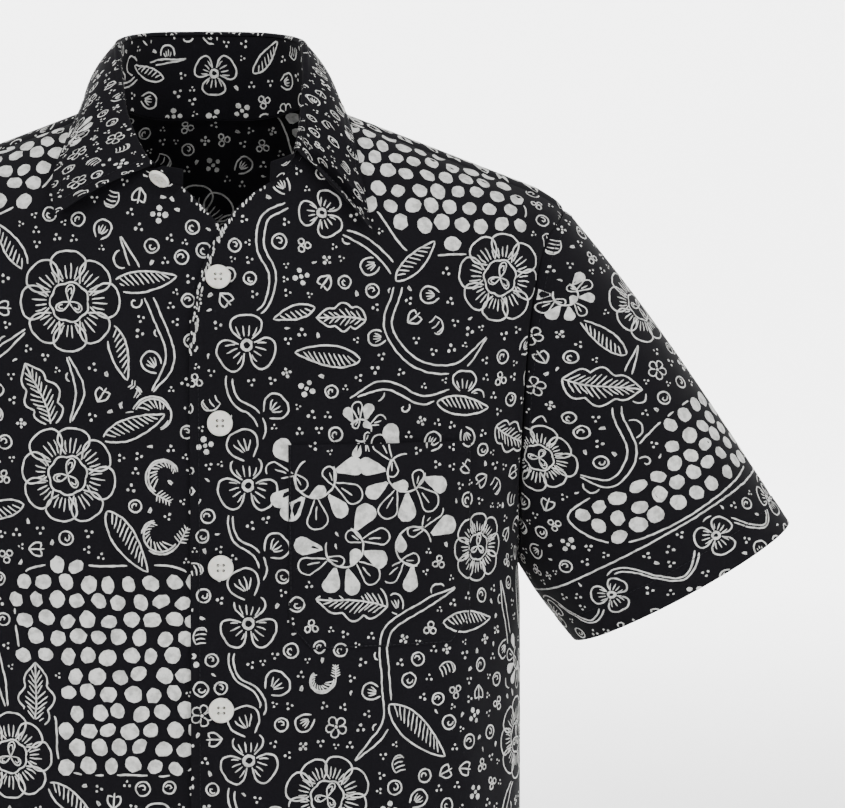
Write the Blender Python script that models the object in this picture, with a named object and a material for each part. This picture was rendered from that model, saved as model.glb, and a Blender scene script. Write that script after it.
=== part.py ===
"""A men's short-sleeved batik shirt, filled out as when worn, with an open collar.

Every cloth piece is a wall of one thickness on one smooth form of the trunk or the arm.
X runs to the wearer's left, -Y is the front, +Z is up.  The origin lies in the middle of
the neck hole, level with the shoulder seams' inner ends, where a neck and shoulders
hold the shirt up.  Lengths in the tables are millimetres.
"""
import math
from collections import namedtuple

import bmesh
import bpy
from mathutils import Vector

MM = 0.001

# ---- driving sizes (mm) ----
WALL = 1.2               # cloth wall
SEAM_PULL = 0.24         # each piece stops this far short of its seam line
HEM_Z = -700.0           # bottom hem
ARMPIT_Z = -287.0        # lowest point of the armhole
NECK_HALF = 64.0         # half the neck hole's width, at the shoulder line
NECK_RISE = 8.4          # how far the form rises above the shoulder slope inside the neck hole
SHOULDER_TOP_Z = 8.8     # shoulder line's height at the neck
SHOULDER_SLOPE = 0.385   # its fall for each unit outward
SHOULDER_TURN_X = 207.0  # where the shoulder line starts to round over into the sleeve
SHOULDER_TURN = 0.016    # how hard it rounds over
SHOULDER_ROUND = 60.0    # rounding radius from the shoulder line to the chest and back
SEAM_FORWARD = 21.0      # the shoulder seam lies this far in front of the shoulder line
PLUMPNESS = 2.5          # exponent of the trunk's rounded plan
LAP_HALF = 19.0          # front edge to button line
LAP_STEP = 2.2           # the upper front lies this far outside the lower one
LAP_FADE = 40.0          # and comes back to the form over this width
BUTTON_TOP_Z = -102.0
BUTTON_PITCH = 88.5
BUTTON_COUNT = 6
BUTTON_RADIUS = 7.9
BUTTON_THICK = 2.6
BUTTON_SIDES = 20
BUTTON_STAND = 0.6       # thread shank between cloth and button
COLLAR_BUTTON_LESS = 0.9  # the collar button's radius is this much smaller
HOLE_SIDES = 6
HOLE_RADIUS = 0.9
HOLE_OFFSET = 1.7
POCKET_LEFT = 42.0
POCKET_WIDTH = 116.0
POCKET_TOP_Z = -204.0
POCKET_HEIGHT = 127.0
POCKET_CORNER = 14.0
POCKET_GAP = 1.4
POCKET_STEPS = 8         # rows and columns of the pocket

# ---- how finely the pieces are cut up ----
ARM_ROWS = 12            # rows of a front or back along the armhole
SIDE_ROWS = 9            # rows from armpit to hem
FRONT_COLUMNS = 13
SHOULDER_COLUMNS = 7     # columns of the back along each shoulder seam
SLEEVE_ROWS = 8

Section = namedtuple("Section", "z front back side fore aft")
# z: height.  front, back: depth at the middle.  side: half width at the armhole or side seam.
# fore, aft: how far the armhole seam lies in front of and behind the shoulder line.
TRUNK = [
    Section(40.0, 50.0, 50.0, 240.0, 46.0, 46.0),
    Section(10.0, 54.0, 55.0, 238.0, 48.0, 48.0),
    Section(-40.0, 65.0, 76.0, 233.0, 50.0, 54.0),
    Section(-61.0, 74.0, 86.0, 228.0, 52.0, 58.0),
    Section(-80.0, 84.0, 94.0, 212.0, 56.0, 62.0),
    Section(-112.0, 98.0, 104.0, 203.0, 61.0, 69.0),
    Section(-150.0, 109.0, 111.0, 198.0, 65.0, 73.0),
    Section(-195.0, 117.0, 115.0, 195.5, 62.0, 71.0),
    Section(-235.0, 121.0, 115.0, 194.5, 51.0, 58.0),
    Section(-265.0, 122.0, 114.0, 195.5, 33.0, 37.0),
    Section(-280.0, 122.0, 113.0, 196.6, 15.0, 16.0),
    Section(ARMPIT_Z, 122.0, 112.5, 197.3, 0.0, 0.0),
    Section(-320.0, 122.0, 111.0, 198.8, 0.0, 0.0),
    Section(-440.0, 120.0, 106.0, 199.0, 0.0, 0.0),
    Section(-560.0, 118.0, 106.0, 199.0, 0.0, 0.0),
    Section(HEM_Z, 119.0, 110.0, 200.0, 0.0, 0.0),
]

Fold = namedtuple("Fold", "x z lean width length depth")
# A soft drape fold of the trunk: its middle, its lean from upright (degrees),
# its half width and half length, and how far it stands out (or in, if negative).
FRONT_FOLDS = [
    Fold(160.0, -400.0, 10.0, 16.0, 75.0, 4.0),
    Fold(176.0, -470.0, 4.0, 13.0, 120.0, -3.5),
    Fold(120.0, -560.0, -5.0, 20.0, 150.0, 4.0),
    Fold(-152.0, -360.0, -10.0, 17.0, 85.0, 3.5),
    Fold(-120.0, -575.0, 6.0, 18.0, 135.0, 4.5),
    Fold(-176.0, -500.0, -3.0, 14.0, 100.0, -3.0),
    Fold(62.0, -610.0, 3.0, 17.0, 100.0, -3.0),
    Fold(-66.0, -625.0, -4.0, 16.0, 90.0, -3.0),
]
BACK_FOLDS = [
    Fold(150.0, -330.0, 14.0, 18.0, 85.0, 4.5),
    Fold(-146.0, -345.0, -12.0, 16.0, 95.0, 4.0),
    Fold(92.0, -480.0, 5.0, 22.0, 165.0, -5.0),
    Fold(-84.0, -500.0, -4.0, 20.0, 150.0, -4.5),
    Fold(45.0, -540.0, 2.0, 19.0, 140.0, 4.5),
    Fold(-38.0, -560.0, -2.0, 18.0, 125.0, 4.0),
    Fold(128.0, -590.0, -3.0, 18.0, 110.0, 4.0),
    Fold(-130.0, -600.0, 3.0, 17.0, 100.0, 4.0),
]

EdgePoint = namedtuple("EdgePoint", "x z")
# Each opened front edge, from the end of the neckline down to the straight button edge.
LEFT_EDGE = [
    EdgePoint(34.0, -43.0),
    EdgePoint(20.0, -52.5),
    EdgePoint(4.0, -70.0),
    EdgePoint(-7.0, -89.0),
    EdgePoint(-15.0, -116.0),
    EdgePoint(-18.5, -145.0),
    EdgePoint(-LAP_HALF, HEM_Z),
]
RIGHT_EDGE = [
    EdgePoint(-20.5, -45.0),
    EdgePoint(-9.5, -56.5),
    EdgePoint(4.0, -72.0),
    EdgePoint(13.0, -89.0),
    EdgePoint(17.5, -116.0),
    EdgePoint(LAP_HALF, -145.0),
    EdgePoint(LAP_HALF, HEM_Z),
]

NeckPoint = namedtuple("NeckPoint", "place x reach")
# The neckline.  place: 0 at the middle of the back, 0.6 at the shoulder seam, 1 at the
# front edge.  reach: distance over the shoulder line, forward negative.
SEAM_PLACE = 0.6
NECKLINE_BACK = [
    NeckPoint(0.0, 0.0, 79.0),
    NeckPoint(0.1, 20.0, 69.5),
    NeckPoint(0.2, 38.0, 56.0),
    NeckPoint(0.3, 53.0, 38.0),
    NeckPoint(0.4, 61.5, 20.0),
    NeckPoint(0.5, 64.2, 0.0),
    NeckPoint(SEAM_PLACE, NECK_HALF, -SEAM_FORWARD),
]
NeckDip = namedtuple("NeckDip", "place x z")
NECKLINE_LEFT = [
    NeckDip(SEAM_PLACE, NECK_HALF, 5.1),
    NeckDip(0.68, 62.0, -7.0),
    NeckDip(0.76, 57.5, -21.0),
    NeckDip(0.82, 51.5, -31.5),
    NeckDip(0.88, 45.0, -38.0),
    NeckDip(1.0, 34.0, -43.0),
]
NECKLINE_RIGHT = [
    NeckDip(SEAM_PLACE, NECK_HALF, 5.1),
    NeckDip(0.68, 62.0, -7.0),
    NeckDip(0.76, 55.5, -22.0),
    NeckDip(0.82, 47.0, -32.5),
    NeckDip(0.88, 38.0, -39.5),
    NeckDip(1.0, 20.5, -45.0),
]
BACK_PLACES = [row.place for row in NECKLINE_BACK]
FRONT_PLACES = [row.place for row in NECKLINE_LEFT]

CollarPoint = namedtuple("CollarPoint", "place x y z")
# place: 0 at the middle of the back, 1 at the stand's front end; x is for the wearer's
# left, and the wearer's right has the same rows with its own last ones.
COLLAR_TOP = [
    CollarPoint(0.00, 0.0, 51.0, 54.0),
    CollarPoint(0.20, 31.0, 45.5, 53.5),
    CollarPoint(0.36, 53.0, 25.0, 50.5),
    CollarPoint(0.48, 59.5, 2.0, 46.0),
    CollarPoint(0.60, 59.0, -19.0, 33.0),
    CollarPoint(0.72, 56.0, -40.0, 8.0),
]
COLLAR_TOP_LEFT = [
    CollarPoint(0.82, 54.5, -55.5, -10.0),
    CollarPoint(0.88, 51.0, -64.5, -22.5),
    CollarPoint(1.00, 34.5, -72.0, -30.0),
]
COLLAR_TOP_RIGHT = [
    CollarPoint(0.82, 47.5, -53.5, -17.0),
    CollarPoint(0.88, 38.0, -62.5, -30.5),
    CollarPoint(1.00, 20.5, -71.0, -34.5),
]
ROLL_END = 0.88          # the fall stops here, short of the stand's end
FALL_EDGE = [
    CollarPoint(0.00, 0.0, 73.0, -9.0),
    CollarPoint(0.20, 42.0, 67.0, -5.0),
    CollarPoint(0.36, 72.0, 42.0, 1.5),
    CollarPoint(0.48, 83.0, 12.0, 4.0),
    CollarPoint(0.60, 85.0, -16.0, 1.5),
]
FALL_EDGE_LEFT = [
    CollarPoint(0.72, 88.5, -50.0, -17.0),
    CollarPoint(0.82, 94.0, -72.0, -53.0),
    CollarPoint(0.88, 97.5, -86.0, -74.0),
]
FALL_EDGE_RIGHT = [
    CollarPoint(0.72, 94.0, -45.0, -18.0),
    CollarPoint(0.82, 102.5, -69.0, -44.0),
    CollarPoint(0.88, 101.0, -83.5, -63.0),
]
FALL_ROLL = 2.4          # radius of the rolled edge, on its outer face
FALL_BOW = 4.0           # how far the fall swells outward between roll and edge
FALL_ROWS = 4
ROLL_ROWS = 4
STAND_ROWS = 3

ROLL_CLEAR = 0.6         # the stand's top stays this far below the roll
ROLL_END_CLEAR = 1.5     # and this far near the roll's ends
ROLL_SLACK = 0.01        # places this close to the roll's end still belong to it

COLLAR_BUTTON_AT = (-35.0, -74.0, -39.5)
COLLAR_BUTTON_FACES = (-0.50, -0.52, -0.70)

# ---- sleeve (mm) ----
HEM_OUTER = (378.5, -267.5)    # x and z of the sleeve hem's outer end
HEM_INNER = (237.0, -344.0)    # and of its inner end
HEM_DEPTH = 61.0               # half the opening, front to back
HEM_BACKWARD = 9.0             # the hem's middle lies this far behind the shoulder line
SLEEVE_BULGE_TOP = 5.0
SLEEVE_BULGE_FACE = 13.0
SLEEVE_BULGE_UNDER = 3.0
ARMPIT_EASE = 0.5              # extra seam gap under the arm, where the walls meet sharply
ARMPIT_REACH = 5               # rows above the armpit whose ends are drawn downward, not across
ARMPIT_DOWN = 5.0              # how strongly they are

SleeveFold = namedtuple("SleeveFold", "turn along width length depth")
# turn: 0 on top, 0.25 in front, 0.5 under, 0.75 behind.  along: 0 at the armhole, 1 at the hem.
SLEEVE_FOLDS = [
    SleeveFold(0.30, 0.30, 0.035, 0.30, -4.0),
    SleeveFold(0.20, 0.45, 0.040, 0.28, 3.0),
    SleeveFold(0.40, 0.60, 0.035, 0.30, 3.0),
    SleeveFold(0.66, 0.35, 0.040, 0.30, -4.5),
    SleeveFold(0.76, 0.50, 0.045, 0.32, 3.5),
]

CLOTH_COLOUR = (0.012, 0.011, 0.015, 1.0)
BUTTON_COLOUR = (0.86, 0.84, 0.78, 1.0)


# ---- small helpers ----
def smooth(t):
    """0 below 0, 1 above 1, eased between."""
    t = min(max(t, 0.0), 1.0)
    return t * t * (3.0 - 2.0 * t)


def slopes(keys, values):
    """Slopes for a curve through the values that doesn't overshoot between rows."""
    steps = [(values[i + 1] - values[i]) / (keys[i + 1] - keys[i]) for i in range(len(keys) - 1)]
    result = [steps[0]]
    for before, after in zip(steps, steps[1:]):
        result.append(0.0 if before * after <= 0 else 2.0 * before * after / (before + after))
    result.append(steps[-1])
    return result


def follow(keys, values, key):
    """The value at a key, on a smooth curve through a table's rows (keys rising)."""
    key = min(max(key, keys[0]), keys[-1])
    i = max(j for j in range(len(keys) - 1) if keys[j] <= key)
    width = keys[i + 1] - keys[i]
    t = (key - keys[i]) / width
    tilt = slopes(keys, values)
    return ((2 * t ** 3 - 3 * t ** 2 + 1) * values[i] + (t ** 3 - 2 * t ** 2 + t) * width * tilt[i]
            + (3 * t ** 2 - 2 * t ** 3) * values[i + 1] + (t ** 3 - t ** 2) * width * tilt[i + 1])


def column(table, name):
    return [getattr(row, name) for row in table]


# ---- the form of the trunk ----
TRUNK_UP = TRUNK[::-1]
TRUNK_Z = column(TRUNK_UP, "z")


def section(z, name):
    return follow(TRUNK_Z, column(TRUNK_UP, name), z)


def shoulder_line(x):
    """Height of the shoulder's ridge, carried on upward inside the neck hole."""
    x = abs(x)
    neck = max(1.0 - (x / NECK_HALF) ** 2, 0.0)
    turned = max(x - SHOULDER_TURN_X, 0.0)
    slope = SHOULDER_TOP_Z - SHOULDER_SLOPE * (x - NECK_HALF)
    return slope + NECK_RISE * neck ** 2 - SHOULDER_TURN * turned ** 2


def reach_to_drop(reach):
    """How far below the shoulder line a point lies that is this far over its rounding."""
    reach = abs(reach)
    quarter = SHOULDER_ROUND * math.pi / 2
    if reach < quarter:
        return SHOULDER_ROUND * (1.0 - math.cos(reach / SHOULDER_ROUND))
    return SHOULDER_ROUND + reach - quarter


def drop_to_reach(drop):
    drop = max(drop, 0.0)
    if drop < SHOULDER_ROUND:
        return SHOULDER_ROUND * math.acos(1.0 - drop / SHOULDER_ROUND)
    return SHOULDER_ROUND * math.pi / 2 + drop - SHOULDER_ROUND


def fold_height(folds, x, z):
    """Sum of the drape folds at a place."""
    total = 0.0
    for fold in folds:
        lean = math.radians(fold.lean)
        across = (x - fold.x) * math.cos(lean) + (z - fold.z) * math.sin(lean)
        down = (z - fold.z) * math.cos(lean) - (x - fold.x) * math.sin(lean)
        total += fold.depth * math.exp(-(across / fold.width) ** 2 - (down / fold.length) ** 2)
    return total


def trunk(x, reach):
    """The point of the trunk's form at x, this far over the shoulder line (front negative)."""
    z = shoulder_line(x) - reach_to_drop(reach)
    front = reach < 0.0
    middle = section(z, "front" if front else "back")
    seam = section(z, "fore" if front else "aft")
    out = min(abs(x) / section(z, "side"), 1.0)
    fill = (1.0 - (1.0 - (seam / middle) ** PLUMPNESS) * out ** PLUMPNESS) ** (1.0 / PLUMPNESS)
    turn = math.sin(min(abs(reach) / SHOULDER_ROUND, math.pi / 2))
    folds = fold_height(FRONT_FOLDS if front else BACK_FOLDS, x, z)
    depth = (middle * fill + folds * min(fill * 2.0, 1.0)) * turn
    return Vector((x, -depth if front else depth, z))


def trunk_normal(x, reach):
    """The form's outward direction."""
    step = 0.6
    inner = x - step if x > 0 else x
    across = trunk(inner + step, reach) - trunk(inner, reach)
    over = trunk(x, reach + step) - trunk(x, reach - step)
    return across.cross(over).normalized()


# ---- the pieces' edges on the form, as (x, reach) ----
SHOULDER_END = 226.5     # the shoulder seam's outer end
OVER_SHARE = 0.18        # share of the back's armhole that passes over the shoulder line
OVER_BULGE = 1.5         # how far it swings outward there
ARMHOLE_EASE = 1.35      # crowds the armhole's rows towards its curved foot
ARMHOLE_SWING = 4        # how quickly the armhole leaves the shoulder's end for its side line
NECK_EASE = 1.7          # crowds a front edge's upper rows towards the neckline
FRONT_CROWD = 1.7        # crowds a front's columns towards the side seam
BACK_CROWD = 1.6         # and the back's
SETTLE_BY = 0.3          # share of the way down by which columns reach their lower spacing
LEVEL_FROM = 0.08        # rows start to turn level here
LEVEL_OVER = 0.25        # and are level after this much more


def shoulder_seam(share):
    """From the neck (0) to the armhole (1)."""
    return NECK_HALF + (SHOULDER_END - NECK_HALF) * share, -SEAM_FORWARD


def armhole(share):
    """Down one face from level with the shoulder seam (0) to the armpit (1)."""
    top_z = trunk(SHOULDER_END, SEAM_FORWARD).z
    z = top_z + (ARMPIT_Z - top_z) * (1.0 - (1.0 - share) ** ARMHOLE_EASE)
    x = section(z, "side") + (SHOULDER_END - section(top_z, "side")) * (1.0 - share) ** ARMHOLE_SWING
    return x, max(drop_to_reach(shoulder_line(x) - z), SEAM_FORWARD)


def front_armhole(share):
    x, reach = armhole(share)
    return x, -reach


def back_armhole(share):
    """The back's armhole first passes over the shoulder line from the forward seam."""
    if share < OVER_SHARE:
        lift = share / OVER_SHARE
        return SHOULDER_END + OVER_BULGE * math.sin(lift * math.pi), SEAM_FORWARD * (2.0 * lift - 1.0)
    return armhole((share - OVER_SHARE) / (1.0 - OVER_SHARE))


def side_seam(share, face):
    z = ARMPIT_Z + (HEM_Z - ARMPIT_Z) * share
    x = section(z, "side")
    return x, face * drop_to_reach(shoulder_line(x) - z)


def on_form(point, face):
    """(x, reach) of an edge point given by x and height."""
    return point.x, face * drop_to_reach(shoulder_line(point.x) - point.z)


def spread(share):
    """Columns crowd together towards the side, where the plan rounds away."""
    return 1.0 - (1.0 - share) ** FRONT_CROWD


def steps(count):
    return [i / count for i in range(count + 1)]


def outer_column(armhole_edge, face):
    """A panel's outer edge, from the shoulder seam down to the hem."""
    upper = [armhole_edge(share) for share in steps(ARM_ROWS)]
    lower = [side_seam(share, face) for share in steps(SIDE_ROWS)]
    return upper + lower[1:]


def front_column(neckline, edge, hand):
    """A front's inner edge: down the neckline, then down its front edge to the hem."""
    points = [on_form(EdgePoint(row.x, row.z), -1.0) for row in neckline]
    points[0] = shoulder_seam(0.0)
    edge_up = edge[::-1]
    keys = column(edge_up, "z")
    values = column(edge_up, "x")
    edge_rows = ARM_ROWS - len(neckline) + 1
    top_z = edge[0].z
    upper = [top_z + (ARMPIT_Z - top_z) * share ** NECK_EASE for share in steps(edge_rows)]
    lower = [ARMPIT_Z + (HEM_Z - ARMPIT_Z) * share for share in steps(SIDE_ROWS)]
    for z in upper[1:] + lower[1:]:
        points.append(on_form(EdgePoint(hand * follow(keys, values, z), z), -1.0))
    return points


def patch(inner, outer, top, bottom_shares):
    """Rows of (x, reach) between an inner and an outer edge.

    The upper rows fan out from the top edge, and the lower ones run level.
    """
    last = abs(outer[-1][1])
    first = abs(outer[0][1])
    width = top[-1][0] - top[0][0]
    grid = []
    for start, end in zip(inner, outer):
        down = (abs(end[1]) - first) / (last - first)
        settle = smooth(down / SETTLE_BY)
        level = smooth((down - LEVEL_FROM) / LEVEL_OVER)
        start_z = shoulder_line(start[0]) - reach_to_drop(start[1])
        end_z = shoulder_line(end[0]) - reach_to_drop(end[1])
        line = []
        for (x, reach), low in zip(top, bottom_shares):
            high = (x - top[0][0]) / width
            share = high + (low - high) * settle
            extra = reach - (top[0][1] + (top[-1][1] - top[0][1]) * high)
            x = start[0] + (end[0] - start[0]) * share
            fanned = start[1] + (end[1] - start[1]) * share + extra * (1.0 - down) ** 2
            _, flat = on_form(EdgePoint(x, start_z + (end_z - start_z) * share), math.copysign(1.0, end[1]))
            line.append((x, fanned + (flat - fanned) * level))
        grid.append(line)
    return grid


def front_patch(hand):
    """(x, reach) grid of one front, x positive towards its own side."""
    neckline = NECKLINE_LEFT if hand > 0 else NECKLINE_RIGHT
    edge = LEFT_EDGE if hand > 0 else RIGHT_EDGE
    inner = front_column(neckline, edge, hand)
    outer = outer_column(front_armhole, -1.0)
    top = [shoulder_seam(share) for share in steps(FRONT_COLUMNS)]
    bottom_shares = [spread(share) for share in steps(FRONT_COLUMNS)]
    return patch(inner, outer, top, bottom_shares)


def back_patch():
    half = outer_column(back_armhole, 1.0)
    left = [(x, reach) for x, reach in half]
    right = [(-x, reach) for x, reach in half]
    neck = [(row.x, row.reach) for row in NECKLINE_BACK]
    shoulder = [shoulder_seam(share) for share in steps(SHOULDER_COLUMNS)]
    half_top = neck + shoulder[1:]
    top = [(-x, reach) for x, reach in reversed(half_top[1:])] + half_top
    count = len(half_top) - 1
    out = [0.5 + 0.5 * (1.0 - (1.0 - i / count) ** BACK_CROWD) for i in range(count + 1)]
    bottom_shares = [1.0 - share for share in reversed(out[1:])] + out
    return patch(right, left, top, bottom_shares)


# ---- closed walls from grids of points ----
def grid_normals(grid, closed=False):
    """Normals of a grid whose columns run along its lines, seen with rows going down."""
    rows = len(grid)
    columns = len(grid[0])
    normals = []
    for j in range(rows):
        line = []
        for i in range(columns):
            before = (i - 1) % columns if closed else max(i - 1, 0)
            after = (i + 1) % columns if closed else min(i + 1, columns - 1)
            across = grid[j][after] - grid[j][before]
            down = grid[min(j + 1, rows - 1)][i] - grid[max(j - 1, 0)][i]
            line.append(down.cross(across).normalized())
        normals.append(line)
    return normals


def pull_in(grid, closed=False, armpit=None):
    """The grid with its edges drawn back from the seams, downward next to an armpit row."""
    result = [[point.copy() for point in line] for line in grid]
    rows = len(grid)
    columns = len(grid[0])
    for i in range(columns):
        for edge, near in ((0, 1), (rows - 1, rows - 2)):
            result[edge][i] += (grid[near][i] - grid[edge][i]).normalized() * SEAM_PULL
    if closed:
        return result
    for j in range(rows):
        for edge, near in ((0, 1), (columns - 1, columns - 2)):
            way = (grid[j][near] - grid[j][edge]).normalized()
            if armpit is not None and armpit - ARMPIT_REACH < j <= armpit:
                below = (grid[j + 1][edge] - grid[j][edge]).normalized()
                near_pit = (j + ARMPIT_REACH - armpit) / ARMPIT_REACH
                way = (way + below * ARMPIT_DOWN * near_pit ** 2).normalized()
            result[j][edge] += way * SEAM_PULL
    return result


def wall_mesh(name, face, back, closed=False):
    """A closed wall between two like grids; the face side is seen from outside."""
    rows = len(face)
    columns = len(face[0])
    points = [point * MM for grid in (face, back) for line in grid for point in line]
    behind = rows * columns

    def at(j, i):
        return j * columns + i % columns

    faces = []
    spans = columns if closed else columns - 1
    for j in range(rows - 1):
        for i in range(spans):
            quad = (at(j, i), at(j + 1, i), at(j + 1, i + 1), at(j, i + 1))
            faces.append(quad)
            faces.append(tuple(behind + k for k in reversed(quad)))
    rim = [(at(0, i + 1), at(0, i)) for i in range(spans)]
    rim += [(at(rows - 1, i), at(rows - 1, i + 1)) for i in range(spans)]
    if not closed:
        rim += [(at(j, 0), at(j + 1, 0)) for j in range(rows - 1)]
        rim += [(at(j + 1, columns - 1), at(j, columns - 1)) for j in range(rows - 1)]
    for a, b in rim:
        faces.append((b, a, behind + a, behind + b))
    mesh = bpy.data.meshes.new(name)
    mesh.from_pydata(points, [], faces)
    mesh.validate()
    return mesh


def turned(grid):
    """The grid with its columns in the other order, which turns its faces over."""
    return [line[::-1] for line in grid]


def wall(face, normals, thickness=WALL):
    """The far side of a wall: the face moved in along its normals."""
    return [[point - normal * thickness for point, normal in zip(line, directions)]
            for line, directions in zip(face, normals)]


def add_object(name, mesh, material, smooth_below=40.0):
    thing = bpy.data.objects.new(name, mesh)
    bpy.context.scene.collection.objects.link(thing)
    mesh.materials.append(material)
    mesh.shade_smooth()
    mesh.set_sharp_from_angle(angle=math.radians(smooth_below))
    return thing


def add_material(name, colour, roughness, sheen=0.0):
    material = bpy.data.materials.new(name)
    material.use_nodes = True
    shader = material.node_tree.nodes["Principled BSDF"]
    shader.inputs["Base Color"].default_value = colour
    shader.inputs["Roughness"].default_value = roughness
    shader.inputs["Metallic"].default_value = 0.0
    shader.inputs["Sheen Weight"].default_value = sheen
    return material


# ---- sleeves ----
def sleeve_rim(hand):
    """The armhole all round, from the shoulder seam down the front and up the back."""
    front = [front_armhole(share) for share in steps(ARM_ROWS)]
    back = [back_armhole(share) for share in steps(ARM_ROWS)]
    loop = front + back[-2:0:-1]
    return [(hand * x, reach) for x, reach in loop]


def sleeve_turns(points):
    """Each rim point's turn round the sleeve, 0 where the rim crosses the shoulder line."""
    crossing = max(range(len(points)), key=lambda i: (points[i].y > -2.0, points[i].z))
    count = len(points)
    lengths = [0.0]
    for i in range(count):
        lengths.append(lengths[-1] + (points[(i + 1) % count] - points[i]).length)
    total = lengths[-1]
    bottom = min(range(count), key=lambda i: points[i].z)
    turns = []
    for i in range(count):
        ahead = (lengths[i] - lengths[crossing]) % total
        front_length = (lengths[bottom] - lengths[crossing]) % total
        if ahead <= front_length:
            turns.append(0.5 * ahead / front_length)
        else:
            turns.append(0.5 + 0.5 * (ahead - front_length) / (total - front_length))
    return turns


def hem_point(turn, hand):
    angle = turn * 2.0 * math.pi
    middle_x = (HEM_OUTER[0] + HEM_INNER[0]) / 2
    middle_z = (HEM_OUTER[1] + HEM_INNER[1]) / 2
    out = math.cos(angle)
    front = math.sin(angle)
    x = middle_x + (HEM_OUTER[0] - middle_x) * out
    z = middle_z + (HEM_OUTER[1] - middle_z) * out
    return Vector((hand * x, HEM_BACKWARD - HEM_DEPTH * front, z))


def sleeve_grid(hand):
    rim = [trunk(x, reach) for x, reach in sleeve_rim(hand)]
    turns = sleeve_turns(rim)
    slant_x = HEM_INNER[0] - HEM_OUTER[0]
    slant_z = HEM_INNER[1] - HEM_OUTER[1]
    slant = Vector((-hand * slant_x, 0.0, -slant_z)).normalized()
    grid = []
    for share in steps(SLEEVE_ROWS):
        line = []
        for start, turn in zip(rim, turns):
            end = hem_point(turn, hand)
            angle = turn * 2.0 * math.pi
            hump = math.sin(math.pi * share ** 0.75)
            point = start.lerp(end, share)
            top = max(math.cos(angle), 0.0) * SLEEVE_BULGE_TOP
            under = max(-math.cos(angle), 0.0) * SLEEVE_BULGE_UNDER
            point += slant * (top - under) * hump
            point.y -= math.sin(angle) * SLEEVE_BULGE_FACE * hump
            for fold in SLEEVE_FOLDS:
                aside = (turn - fold.turn + 0.5) % 1.0 - 0.5
                reach = (aside / fold.width) ** 2 + ((share - fold.along) / fold.length) ** 2
                swell = fold.depth * math.exp(-reach) * smooth(share * 5.0)
                point += (slant * math.cos(angle) + Vector((0.0, -math.sin(angle), 0.0))) * swell
            line.append(point)
        grid.append(line)
    return grid


def outward(normals, hand):
    """Sleeve rims run the other way round on the wearer's left, so their normals flip."""
    return normals if hand < 0 else [[-normal for normal in line] for line in normals]


def rim_normals(hand):
    """At the armhole, trunk and sleeve share one direction, so that their walls mitre."""
    grid = sleeve_grid(hand)
    sleeve = outward(grid_normals(grid, closed=True), hand)[0]
    shared = []
    for (x, reach), own in zip(sleeve_rim(hand), sleeve):
        shared.append((trunk_normal(x, reach) + own).normalized())
    return shared


def make_sleeve(hand, name, material):
    grid = sleeve_grid(hand)
    normals = outward(grid_normals(grid, closed=True), hand)
    normals[0] = rim_normals(hand)
    face = pull_in(grid, closed=True)
    for point, turn in zip(face[0], sleeve_turns(grid[0])):
        ease = ARMPIT_EASE * max(-math.cos(turn * 2.0 * math.pi), 0.0) ** 4
        point += Vector((hand * ease, 0.0, ease))
    far = wall(face, normals)
    if hand > 0:
        face, far = turned(face), turned(far)
    return add_object(name, wall_mesh(name, face, far, closed=True), material)


# ---- fronts, back and pocket ----
def lap(hand, x):
    """How far a front stands outside the form: the wearer's left laps over the right."""
    return LAP_STEP * (1.0 - smooth((x - 2.0 * LAP_HALF) / LAP_FADE)) if hand > 0 else 0.0


def panel_walls(places, hand, front):
    """Face and far side of a trunk panel, with shared directions at its seams."""
    face = []
    normals = []
    lift = hand if front else 0.0
    for line in places:
        directions = [trunk_normal(x, reach) for x, reach in line]
        face.append([trunk(x, reach) + normal * lap(lift, x) for (x, reach), normal in zip(line, directions)])
        normals.append(directions)
    around = 2 * ARM_ROWS
    for side in ((1.0, -1.0) if not front else (hand,)):
        shared = rim_normals(side)
        edge = -1 if front or side > 0 else 0
        for j in range(len(places)):
            if j > ARM_ROWS:
                normals[j][edge] = Vector((side, 0.0, 0.0))
            else:
                normals[j][edge] = shared[j if front else -j % around]
    shared = neck_normals()
    middle = len(shared) // 2
    seam = len(BACK_PLACES) - 1
    if front:
        for k in range(len(FRONT_PLACES)):
            normals[k][0] = shared[middle + (seam + k) * int(hand)]
    else:
        for k in range(-seam, seam + 1):
            normals[0][len(places[0]) // 2 + k] = shared[middle + k]
    face = pull_in(face, armpit=ARM_ROWS)
    return face, wall(face, normals)


def make_front(hand, name, material):
    places = [[(hand * x, reach) for x, reach in line] for line in front_patch(hand)]
    face, far = panel_walls(places, hand, True)
    if hand < 0:
        face, far = turned(face), turned(far)
    return add_object(name, wall_mesh(name, face, far), material)


def make_back(name, material):
    face, far = panel_walls(back_patch(), 0.0, False)
    return add_object(name, wall_mesh(name, turned(face), turned(far)), material)


def make_pocket(name, material):
    face = []
    normals = []
    for down in steps(POCKET_STEPS):
        z = POCKET_TOP_Z - POCKET_HEIGHT * down
        corner = POCKET_CORNER * max((down - 1.0) * POCKET_STEPS + 1.0, 0.0)
        line = []
        directions = []
        for share in steps(POCKET_STEPS):
            x = POCKET_LEFT + corner + (POCKET_WIDTH - 2.0 * corner) * share
            x, reach = on_form(EdgePoint(x, z), -1.0)
            normal = trunk_normal(x, reach)
            line.append(trunk(x, reach) + normal * (lap(1.0, x) + POCKET_GAP + WALL))
            directions.append(normal)
        face.append(line)
        normals.append(directions)
    return add_object(name, wall_mesh(name, face, wall(face, normals)), material)


# ---- collar ----
def neck_rim():
    """Neckline points from the wearer's right front end round the back to the left one."""
    right = [point_on_front(-1.0, row) for row in NECKLINE_RIGHT[:0:-1]]
    left = [point_on_front(1.0, row) for row in NECKLINE_LEFT[1:]]
    back_left = [trunk(row.x, row.reach) for row in NECKLINE_BACK]
    back_right = [trunk(-row.x, row.reach) for row in NECKLINE_BACK[:0:-1]]
    return right + back_right + back_left + left


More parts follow.
